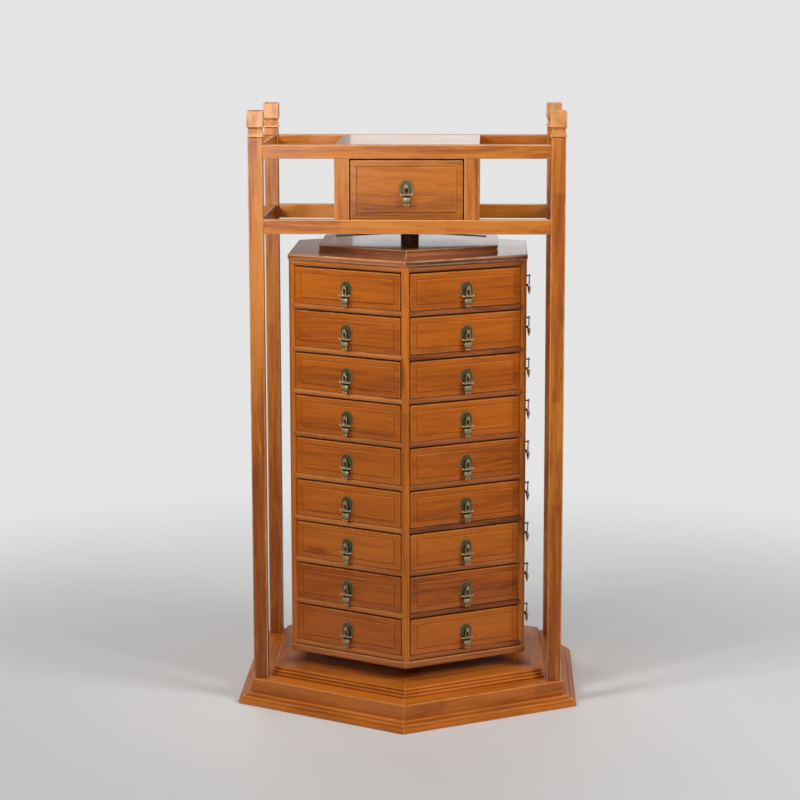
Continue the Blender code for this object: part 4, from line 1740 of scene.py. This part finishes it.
class PullWires:
    """Geometry Nodes tree that turns a pull's loose edges into round wires with balls on their ends."""

    def __init__(self) -> None:
        """Builds the tree once."""
        inputs = {
            "Geometry": "Geometry",
            "Wire Radius": "Float",
            "Wire Sides": "Int",
            "Ball Radius": "Float",
            "Ball Segments": "Int",
            "Ball Rings": "Int",
            "Wear": "Float",
            "Material": "Material",
        }
        sketch = new_group("pull_wires", "GeometryNodeTree", inputs, {"Geometry": "Geometry"})
        given = sketch.add("NodeGroupInput").outputs
        faces = sketch.add("GeometryNodeInputMeshEdgeNeighbors").outputs["Face Count"]
        count = {COMPARE_FIRST: faces, COMPARE_SECOND: 0}
        loose = sketch.add("FunctionNodeCompare", count, data_type="INT", operation="EQUAL").outputs[0]
        paths = {"Mesh": given["Geometry"], "Selection": loose}
        lines = sketch.add("GeometryNodeMeshToCurve", paths).outputs["Curve"]
        ring = sketch.add("GeometryNodeCurvePrimitiveCircle", {
            "Resolution": given["Wire Sides"],
            "Radius": given["Wire Radius"],
        })
        wires = sketch.add("GeometryNodeCurveToMesh", {
            "Curve": lines,
            "Profile Curve": ring.outputs["Curve"],
            "Fill Caps": True,
        })
        ends = sketch.add("GeometryNodeCurveEndpointSelection").outputs["Selection"]
        closed = sketch.add("GeometryNodeInputSplineCyclic").outputs["Cyclic"]
        tips = {0: ends, 1: closed}
        open_ends = sketch.add("FunctionNodeBooleanMath", tips, operation="NIMPLY").outputs[0]
        ball = sketch.add("GeometryNodeMeshUVSphere", {
            "Segments": given["Ball Segments"],
            "Rings": given["Ball Rings"],
            "Radius": given["Ball Radius"],
        })
        balls = sketch.add("GeometryNodeInstanceOnPoints", {
            "Points": lines,
            "Selection": open_ends,
            "Instance": ball.outputs["Mesh"],
        })
        metal = sketch.add("GeometryNodeJoinGeometry")
        for part in (balls.outputs["Instances"], wires.outputs["Mesh"]):
            sketch.tree.links.new(part, metal.inputs["Geometry"])
        real = sketch.add("GeometryNodeRealizeInstances", {"Geometry": metal.outputs["Geometry"]})
        position = sketch.add("GeometryNodeInputPosition").outputs["Position"]
        marked = sketch.store(real.outputs["Geometry"], GRAIN, position, "FLOAT_VECTOR", "POINT")
        # The tone of a path's points carries its wear and painted highlight.
        rubbing_and_highlight = sketch.value("MULTIPLY", sketch.named(TONE, "FLOAT"), given["Wear"])
        rubbed = sketch.store(marked, WEAR_AND_LIGHT, rubbing_and_highlight, "FLOAT", "FACE")
        smooth = sketch.add("GeometryNodeSetShadeSmooth", {"Geometry": rubbed}).outputs["Geometry"]
        wired = {"Geometry": given["Geometry"], "Selection": loose}
        solid = sketch.add("GeometryNodeDeleteGeometry", wired, domain="EDGE")
        whole = sketch.add("GeometryNodeJoinGeometry")
        for part in (smooth, solid.outputs["Geometry"]):
            sketch.tree.links.new(part, whole.inputs["Geometry"])
        finished = sketch.add("GeometryNodeSetMaterial", {
            "Geometry": whole.outputs["Geometry"],
            "Material": given["Material"],
        })
        sketch.add("NodeGroupOutput", {"Geometry": finished.outputs["Geometry"]})
        self.tree = sketch.tree


@dataclass
class Pull:
    """Brass pull: an arched plate with a pin, and a drop with a loop, horned wings, a bud and two beads,
    with flat ovals of painted shade behind the drop.
    """

    finishes: Finishes
    wires: PullWires
    plate_half: Point2 = (0.0170, 0.0187)
    plate_shoulder: Point2 = (0.0080, 0.0110)
    plate_corner: float = 0.0040
    plate_heel: float = 0.0105
    plate_thickness: float = 0.0022
    # Wear on the pull also paints its highlights: plate edge and rim, pin, loop, cup, bud and wires.
    plate_edge_wear: float = 0.2
    rim: float = 0.0019
    rim_wear: float = 0.35
    rim_grime: float = -0.5
    dish: float = 0.0006
    # Two flat ovals of painted shade: one inside the loop, one between the cup and the bud.
    socket_half: Point2 = (0.0050, 0.0104)
    socket_middle: float = -0.0052
    yoke_half: Point2 = (0.0102, 0.0034)
    yoke_middle: float = -0.0212
    pin_radius: float = 0.0020
    pin_head: float = 0.0038
    pin_reach: float = 0.0136
    pin_wear: float = 0.5
    pin_sides: int = 10
    drop_plane: float = 0.0102
    loop_top: float = 0.0064
    loop_bottom: float = -0.0172
    loop_half: float = 0.0058
    loop_bow: float = 1.6
    loop_wear: float = 0.30
    loop_steps: int = 10
    cup_half: float = 0.0085
    cup_foot: float = -0.0182
    cup_rise: float = 0.0054
    cup_depth: float = 0.0018
    cup_wear: float = 0.6
    wing_half: float = 0.0146
    wing_middle: float = -0.0186
    wing_rise: float = 0.0024
    wing_curl: int = 3
    wing_steps: int = 10
    bud_top: float = -0.0236
    bud_bottom: float = -0.0390
    bud_half: float = 0.0106
    bud_thickness: float = 0.0044
    bud_brow: float = 0.80
    bud_tip: float = 0.93
    bud_fullness: float = 3.2
    bud_wear: float = 0.68
    bud_sides: int = 14
    bud_steps: int = 10
    bead_half: float = 0.0042
    bead_height: float = -0.0416
    bead_stem: float = 0.0030
    wire_radius: float = 0.0015
    wire_sides: int = 8
    ball_radius: float = 0.0023
    ball_segments: int = 10
    ball_rings: int = 7
    wire_wear: float = 1.0

    def __post_init__(self) -> None:
        """Builds the mesh once, for every drawer to have a copy."""
        self.mesh = self._build_mesh()

    def _build_mesh(self) -> bpy.types.Mesh:
        """Makes the pull, facing -Y with the middle of its plate's back at the origin.

        Returns:
            The pull's mesh.
        """
        pull = PieceMesh("pull_pattern", seed=500)
        pull.add(self._plate())
        # Painted shade: flat dark ovals inside the loop and under the cup.
        pull.add(self._hollow(self.socket_half, self.socket_middle, self.plate_thickness))
        pull.add(self._hollow(self.yoke_half, self.yoke_middle, self.drop_plane - self.bud_thickness / 2))
        hanging = Vector((0.0, 0.0, self.loop_top - 2 * self.wire_radius))
        pull.add(self._pin(), axes(-Y_AXIS, X_AXIS, -Z_AXIS, hanging))
        pull.add(self._bud())
        for path, rubbing_and_highlight, closed in self._paths():
            pull.add_wire(path, rubbing_and_highlight, closed)
        piece = pull.piece()
        run_tree(piece, self.wires.tree, {
            "Wire Radius": self.wire_radius,
            "Wire Sides": self.wire_sides,
            "Ball Radius": self.ball_radius,
            "Ball Segments": self.ball_segments,
            "Ball Rings": self.ball_rings,
            "Wear": self.wire_wear,
            "Material": self.finishes.brass,
        })
        mesh = smooth_shade(piece).data
        bpy.data.objects.remove(piece)
        return mesh

    def _plate(self) -> Board:
        """Plate with a rim, lighter for wear and painted highlight, round a slightly dished field.

        Returns:
            The plate.
        """
        across, up = self.plate_half
        shoulder, drop = self.plate_shoulder
        corner = self.plate_corner
        outline = ease([
            (-across, -up, self.plate_heel),
            (across, -up, self.plate_heel),
            (across, up - drop, corner),
            (shoulder, up, corner),
            (-shoulder, up, corner),
            (-across, up - drop, corner),
        ])
        levels = (
            (0.0, 0.0, 0.0),
            (0.0, self.plate_thickness - self.rim / 2, self.plate_edge_wear),
            (self.rim / 2, self.plate_thickness, self.rim_wear),
            (self.rim, self.plate_thickness, self.rim_grime),
            (2 * self.rim, self.plate_thickness - self.dish, 0.0),
        )
        rings = []
        for inset, out, _ in levels:
            shrink = (1 - inset / across, 1 - inset / up)
            rings.append([Vector((x * shrink[0], -out, z * shrink[1])) for x, z in outline.points])
        return skin(rings, bands=[wear for _, _, wear in levels])

    def _hollow(self, half: Point2, middle: float, out: float) -> Board:
        """Flat oval of painted shade, put where the drop shades the plate.

        Args:
            half: Its half sizes.
            middle: Height of its middle.
            out: How far its face stands out from the plate's back.

        Returns:
            The solid.
        """
        turns = round_turns(self.bud_sides)
        oval = [(half[0] * math.cos(t), middle + half[1] * math.sin(t)) for t in turns]
        board = skin([[Vector((x, -depth, z)) for x, z in oval] for depth in (0.0, out)])
        # Painted shade all over the oval.
        board.wear = [FULL_SHADE] * len(board.wear)
        return board

    def _pin(self) -> Board:
        """Pin along X that the loop hangs on, with a head lighter for wear and painted highlight, round a
        hole dark with painted shade.

        Returns:
            The pin.
        """
        head, reach = self.pin_head, self.pin_reach
        levels = (
            (self.pin_radius, 0.0, 0.0),
            (self.pin_radius, reach - head, self.pin_wear),
            (head, reach - head / 2, FULL_WEAR_AND_HIGHLIGHT),
            (head, reach, FULL_WEAR_AND_HIGHLIGHT),
            (head / 2, reach, FULL_SHADE),
            (head / 2, reach - head / 2, 0.0),
        )
        profile = [(radius, height) for radius, height, _ in levels]
        board = turned(profile, self.pin_sides, [wear for _, _, wear in levels])
        # Painted shade on the floor of the hole.
        board.wear[1] = FULL_SHADE
        return board

    def _bud(self) -> Board:
        """Flattened bud under the wings: full at the top, narrowing to its beads.

        Returns:
            The bud.
        """
        rings = []
        bands = []
        for k in range(self.bud_steps + 1):
            share = k / self.bud_steps
            shoulder = min(1.0, self.bud_brow + (1.0 - self.bud_brow) * share * self.bud_steps / 2)
            swell = shoulder * math.sqrt(1 - (self.bud_tip * share) ** self.bud_fullness)
            height = self.bud_top + (self.bud_bottom - self.bud_top) * share
            ring = []
            for turn in round_turns(self.bud_sides):
                across = self.bud_half * swell * math.cos(turn)
                out = self.drop_plane + self.bud_thickness * swell * math.sin(turn)
                ring.append(Vector((across, -out, height)))
            rings.append(ring)
            # Wear and painted highlight, strongest at the top of the bud.
            bands.append(self.bud_wear * (1.0 - share))
        return skin(rings, bands=bands)

    def _paths(self) -> list[tuple[list[Vector], list[float], bool]]:
        """Lines of the wires: the pointed loop, the cup under it, the wings and the beads.

        Returns:
            The points of each wire, the wear and painted highlight at each point, and whether the wire
            closes.
        """
        middle = (self.loop_top + self.loop_bottom) / 2
        tall = (self.loop_top - self.loop_bottom) / 2
        loop = []
        # Wear and painted highlight grow towards the top of the loop.
        apex_highlight = []
        for side in (1, -1):
            for k in range(self.loop_steps):
                rise = side * (1 - 2 * k / self.loop_steps)
                across = side * self.loop_half * (1 - abs(rise) ** self.loop_bow)
                loop.append(self._at(across, middle + tall * rise))
                apex_highlight.append(max(rise, self.loop_wear))
        shares = [2 * k / self.wing_steps - 1 for k in range(self.wing_steps + 1)]
        cup = [self._at(self.cup_half * s, self.cup_foot + self.cup_rise * s ** 2) for s in shares]
        brim = self.cup_foot + self.cup_depth
        slope = self.cup_rise - self.cup_depth
        cup += [self._at(self.cup_half * s, brim + slope * s ** 2) for s in shares[-2:0:-1]]
        curls = [self.wing_middle + self.wing_rise * abs(s) ** self.wing_curl for s in shares]
        wings = [self._at(self.wing_half * s, height) for s, height in zip(shares, curls)]
        bead = self._at(self.bead_half, self.bead_height)
        stem = self._at(self.bead_half / 2, self.bud_bottom + self.bead_stem)
        mirror = Vector((-1.0, 1.0, 1.0))
        beads = [bead, stem, stem * mirror, bead * mirror]
        # Wear and painted highlight: brightest at the wing tips and on the beads.
        return [
            (loop, apex_highlight, True),
            (cup, [self.cup_wear] * len(cup), True),
            (wings, [abs(s) for s in shares], False),
            (beads, [FULL_WEAR_AND_HIGHLIGHT] * len(beads), False),
        ]

    def _at(self, across: float, up: float) -> Vector:
        """Point in the plane that the drop hangs in."""
        return Vector((across, -self.drop_plane, up))

    def hang(self, name: str, place: Matrix, body: str, seed: int) -> None:
        """Puts a copy of the pull on a drawer.

        Args:
            name: Name of the copy.
            place: Where the middle of its plate's back goes.
            body: Body that it moves with.
            seed: Seed of the copy's own patina.
        """
        copy = self.mesh.copy()
        copy.name = name
        draw = random.Random(seed)
        shift = [draw.uniform(0.0, GRAIN_SPREAD) for _ in range(AXIS_COUNT)]
        for item in copy.attributes[GRAIN].data:
            item.vector = [value + move for value, move in zip(item.vector, shift)]
        copy.transform(place)
        dress(new_object(name, copy), body)


@dataclass
class Front:
    """Drawer front facing -Y: one plank with eased edges, a border that falls away and a raised field."""

    face: float
    half: float
    low: float
    high: float
    taper: float
    border: Point2
    pull_lift: float
    thickness: float = 0.016
    corner: float = 0.0030
    arris: float = 0.0024
    fall: float = 0.0010
    quirk: float = 0.0015
    # Painted shade in the quirk at the foot of the raised field.
    quirk_grime: float = -0.75
    bevel: float = 0.0027
    bevel_crest: float = 0.25
    # Painted highlight along the bevel of the raised field.
    bevel_wear: float = 0.40
    raised: float = 0.0018

    @property
    def pull_place(self) -> Matrix:
        """Where the middle of the back of its pull's plate goes."""
        middle = (self.low + self.high) / 2 + self.pull_lift
        return Matrix.Translation((0.0, -self.face - self.raised, middle))

    def add_to(self, mesh: PieceMesh) -> None:
        """Adds the plank to a mesh.

        Args:
            mesh: Mesh of the drawer's front.
        """
        levels = [(0.0, 0.0, self.thickness, 0.0)]
        # The eased edges get wear, which also paints a highlight line along them.
        for k, (inset, drop) in enumerate(quarter_round(self.arris)):
            levels.append((inset, inset, self.fall + drop, float(k < ARC_STEPS)))
        across, up = self.border
        foot = self.quirk + self.bevel
        crest = self.bevel * self.bevel_crest
        # Painted shade in the quirk, painted highlight up the bevel.
        levels += [
            (across - foot, up - foot, 0.0, self.quirk_grime),
            (across - self.bevel, up - self.bevel, self.quirk / 2, self.bevel_wear),
            (across - crest, up - crest, -self.raised, self.bevel_wear),
            (across, up, -self.raised, 0.0),
        ]
        rings = []
        for across, up, depth, _ in levels:
            half = self.half - across - self.taper * max(depth, 0.0)
            ring = eased_rectangle((-half, self.low + up), (half, self.high - up), self.corner)
            rings.append([Vector((x, -self.face + depth, z)) for x, z in ring.points])
        mesh.add(skin(rings, bands=[wear for _, _, _, wear in levels]))


@dataclass
class Tray:
    """Open box behind a drawer front: two sides, a back and a floor between them."""

    near: float
    far: float
    near_half: float
    far_half: float
    low: float
    high: float
    wall: float = 0.008
    floor: float = 0.006
    edge: float = 0.0016

    def add_to(self, mesh: PieceMesh) -> None:
        """Adds the tray's boards to a mesh.

        Args:
            mesh: Mesh of the drawer's tray.
        """
        height = self.high - self.low
        section = ease([
            (0.0, 0.0, 0.0),
            (self.wall, 0.0, 0.0),
            (self.wall, height, self.edge),
            (0.0, height, self.edge),
        ])
        for side in (-1, 1):
            start = Vector((side * self.near_half, -self.near, self.low))
            run = Vector((side * self.far_half, -self.far, self.low)) - start
            along = run.normalized()
            inward = Vector((-along.y, along.x, 0.0)) * side
            mesh.add(straight(section, 0.0, run.length), axes(along, inward, Z_AXIS, start))
        slope = (self.near_half - self.far_half) / (self.near - self.far)
        wall_across = self.wall * math.sqrt(1 + slope * slope)

        def back_half(depth: float) -> float:
            """Half width inside the sides at a distance from the tray's back."""
            return self.far_half + slope * depth - wall_across

        end = sweep(section, lambda a, b: -back_half(a), lambda a, b: back_half(a))
        mesh.add(end, axes(X_AXIS, -Y_AXIS, Z_AXIS, Vector((0.0, -self.far, self.low))))
        inner_far = self.far + self.wall
        near, far = back_half(self.near - self.far), back_half(self.wall)
        plan = [(-near, -self.near), (near, -self.near), (far, -inner_far), (-far, -inner_far)]
        mesh.add(prism(plan, self.low, self.low + self.floor))


@dataclass
class Drawers:
    """Every drawer of the cabinet, with its front, tray and pull."""

    layout: Layout
    finishes: Finishes
    drum: Drum
    pull: Pull
    recess: float = 0.003
    side_gap: float = 0.0012
    reveal: float = 0.0004
    top_reveal: float = 0.0014
    case_reveal: float = 0.0013
    border: Point2 = (0.0220, 0.0176)
    case_border: Point2 = (0.0190, 0.0185)
    drum_lift: float = 0.0006
    case_lift: float = 0.0050
    depth: float = 0.215
    tray_inset: float = 0.001
    headroom: float = 0.022
    case_depth: float = 0.380
    case_tray_inset: float = 0.003
    case_headroom: float = 0.030
    first_seed: int = 1000
    seeds_per_side: int = 20
    case_seed: int = 1500
    tray_seed_shift: int = 500

    def build(self) -> None:
        """Makes the drawers of the drum and of the gallery case."""
        for number, side in enumerate(Side):
            for row in range(1, self.drum.row_count + 1):
                seed = self.first_seed + self.seeds_per_side * number + row
                self._drum_drawer(side, row, seed)
        self._case_drawer()

    def _drum_drawer(self, side: Side, row: int, seed: int) -> None:
        """Makes one drawer of the drum.

        Args:
            side: Side of the drum.
            row: Row from the top, from 1.
            seed: Seed of its boards.
        """
        node = f"drawer_{side.letter}{row}"
        face = self.drum.apothem - self.recess
        inset = (self.drum.post_half + self.side_gap) / HEX_COS
        low, high = self.layout.front_low, self.layout.front_high
        half = face * HEX_TAN - inset - self.reveal
        levels = (low + self.reveal / 2, high - self.top_reveal)
        front = Front(face, half, *levels, HEX_TAN, self.border, self.drum_lift)
        back = face - front.thickness
        far = face - self.depth
        tray_inset = inset + self.tray_inset / HEX_COS
        opening = self.layout.row_pitch - self.drum.rail_height
        ends = [reach * HEX_TAN - tray_inset for reach in (back, far)]
        tray = Tray(back, far, *ends, low, opening - self.headroom)
        floor = self.layout.row_floor + (self.drum.row_count - row) * self.layout.row_pitch
        place = side.turn @ Matrix.Translation((0.0, 0.0, floor))
        self._assemble(node, seed, front, tray, place, self.finishes.drawer)

    def _case_drawer(self) -> None:
        """Makes the drawer of the gallery case."""
        low_corner, high_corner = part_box("case_drawer")
        face = self.layout.rail_face - self.recess
        reveal = self.case_reveal
        half = high_corner.x - reveal
        levels = (low_corner.z + reveal, high_corner.z - reveal)
        front = Front(face, half, *levels, 0.0, self.case_border, self.case_lift)
        back = face - front.thickness
        half = high_corner.x - self.case_tray_inset
        top = front.high - self.case_headroom
        tray = Tray(back, face - self.case_depth, half, half, front.low, top)
        self._assemble("case_drawer", self.case_seed, front, tray, Matrix(), self.finishes.case_drawer)

    def _assemble(
        self,
        node: str,
        seed: int,
        front: Front,
        tray: Tray,
        place: Matrix,
        finish: Material,
    ) -> None:
        """Makes the pieces of a drawer at their place and puts them on its body.

        Args:
            node: Node that the drawer stands for, which is also its body.
            seed: Seed of its boards.
            front: Its front.
            tray: Its tray.
            place: Where the drawer goes.
            finish: Finish of its front.
        """
        parts = ((f"{node}_front", front, finish), (f"{node}_tray", tray, self.finishes.inside))
        for offset, (name, part, material) in enumerate(parts):
            mesh = PieceMesh(name, seed + self.tray_seed_shift * offset)
            part.add_to(mesh)
            piece = mesh.piece(material)
            piece.data.transform(place)
            dress(smooth_shade(piece), node, [node] if offset == 0 else [])
        self.pull.hang(f"{node}_pull", place @ front.pull_place, node, seed)


@dataclass(frozen=True)
class Lamp:
    """Soft square lamp: where it hangs, what it points at, its side, watts and beam angle in degrees."""

    name: str
    place: Triple
    target: Triple
    size: float
    power: float
    beam: float
    mirrored: bool = False

    def hang(self) -> None:
        """Adds the lamp to the scene; only a mirrored one shows in glossy surfaces."""
        data = bpy.data.lights.new(self.name, "AREA")
        data.size = self.size
        data.energy = self.power
        data.spread = math.radians(self.beam)
        lamp = new_object(self.name, data)
        lamp.location = self.place
        lamp.rotation_euler = (Vector(self.target) - lamp.location).to_track_quat("-Z", "Y").to_euler()
        lamp.visible_camera = False
        lamp.visible_glossy = self.mirrored


@dataclass
class Studio:
    """Pale floor, soft lamps and the camera of the photograph."""

    camera_place: Triple = (0.204, -6.012, 1.775)
    camera_yaw: float = 2.19
    camera_pitch: float = -9.73
    camera_roll: float = -0.10
    focal_pixels: float = 2354.0
    frame_pixels: float = 800.0
    floor_radius: float = 6.0
    floor_segments: int = 96
    floor_roughness: float = 0.55
    floor_fade: Point2 = (0.55, 2.6)
    floor_colour: Colour = (0.80, 0.80, 0.795)
    backdrop: Colour = (0.78, 0.78, 0.78)
    ambient: float = 0.14
    mirrored: float = 0.40
    lamps: tuple[Lamp, ...] = (
        Lamp("key", (-2.2, -1.9, 2.9), (0.0, 0.0, 1.40), size=0.8, power=13.2, beam=80.0),
        Lamp("glow", (-0.98, -3.5, 1.64), (-0.5, -0.2, 1.55), size=0.5, power=5.4, beam=60.0, mirrored=True),
        Lamp("fill", (2.7, -1.8, 2.3), (0.0, 0.0, 1.00), size=1.4, power=30.0, beam=110.0),
        Lamp("top", (-0.3, -0.6, 3.4), (0.0, 0.0, 1.15), size=1.4, power=7.0, beam=120.0),
        Lamp("back", (0.5, 3.2, 2.2), (0.0, 0.0, 1.10), size=1.8, power=4.0, beam=140.0, mirrored=True),
        Lamp("rear", (-1.2, 3.0, 2.4), (0.0, 0.0, 1.00), size=1.6, power=16.0, beam=110.0),
    )

    def build(self) -> None:
        """Makes the floor, the world, the lamps and the camera."""
        scene = bpy.context.scene
        scene.view_settings.view_transform = "Standard"
        self._floor()
        self._world(scene)
        for lamp in self.lamps:
            lamp.hang()
        scene.camera = self._camera()

    def _floor(self) -> None:
        """Round floor that fades into the backdrop."""
        mesh = bpy.data.meshes.new("studio_floor")
        shape = bmesh.new()
        bmesh.ops.create_circle(shape, cap_ends=True, segments=self.floor_segments, radius=self.floor_radius)
        shape.to_mesh(mesh)
        shape.free()
        floor = new_object("studio_floor", mesh)
        material, sketch = new_material("pale_floor")
        place = sketch.add("ShaderNodeTexCoord").outputs["Object"]
        distance = sketch.add("ShaderNodeVectorMath", {0: place}, operation="LENGTH").outputs["Value"]
        fade = sketch.remap(distance, self.floor_fade, (0.0, 1.0))
        matt = sketch.add("ShaderNodeBsdfPrincipled", {
            "Base Color": rgba(self.floor_colour),
            "Roughness": self.floor_roughness,
        })
        clear = sketch.add("ShaderNodeBsdfTransparent")
        blend = sketch.add("ShaderNodeMixShader", {
            0: fade,
            1: matt.outputs["BSDF"],
            2: clear.outputs["BSDF"],
        })
        sketch.add("ShaderNodeOutputMaterial", {"Surface": blend.outputs["Shader"]})
        mesh.materials.append(material)

    def _world(self, scene: bpy.types.Scene) -> None:
        """Makes the world, which shows a pale backdrop and lights the object softly.

        Args:
            scene: Scene that it goes in.
        """
        world = bpy.data.worlds.new("studio")
        scene.world = world
        world.use_nodes = True
        sketch = Sketch(world.node_tree)
        path = sketch.add("ShaderNodeLightPath").outputs
        seen = sketch.value("MAXIMUM", path["Is Camera Ray"], path["Is Transmission Ray"])
        gain = self.mirrored - self.ambient
        soft = sketch.value("MULTIPLY_ADD", path["Is Glossy Ray"], gain, self.ambient)
        strength = sketch.value("MAXIMUM", seen, soft)
        light = sketch.add("ShaderNodeBackground", {"Color": rgba(self.backdrop), "Strength": strength})
        sketch.add("ShaderNodeOutputWorld", {"Surface": light.outputs["Background"]})

    def _camera(self) -> bpy.types.Object:
        """Adds the camera at the photograph's place and lens.

        Returns:
            The camera.
        """
        data = bpy.data.cameras.new("camera")
        data.lens = self.focal_pixels / self.frame_pixels * data.sensor_width
        camera = new_object("camera", data)
        turn = Matrix.Rotation(math.radians(self.camera_yaw), MATRIX_SIZE, "Z")
        tilt = Matrix.Rotation(math.pi / 2 + math.radians(self.camera_pitch), MATRIX_SIZE, "X")
        roll = Matrix.Rotation(math.radians(self.camera_roll), MATRIX_SIZE, "Z")
        camera.matrix_world = Matrix.Translation(self.camera_place) @ turn @ tilt @ roll
        return camera


def main() -> None:
    """Builds the cabinet's pieces in order."""
    logging.basicConfig(level=logging.INFO, format="%(name)s: %(message)s")
    for item in list(bpy.data.objects):
        bpy.data.objects.remove(item)
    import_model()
    finishes = Finishes.build(ShaderKit())
    array = HexagonArray()
    layout = Layout.read()
    Plinth(layout, finishes, array).build()
    stand = Stand(layout, finishes)
    stand.build()
    GalleryCase(layout, finishes, stand).build()
    drum = Drum(layout, finishes, array)
    drum.build()
    Drawers(layout, finishes, drum, Pull(finishes, PullWires())).build()
    Studio().build()


if __name__ == "__main__":
    main()
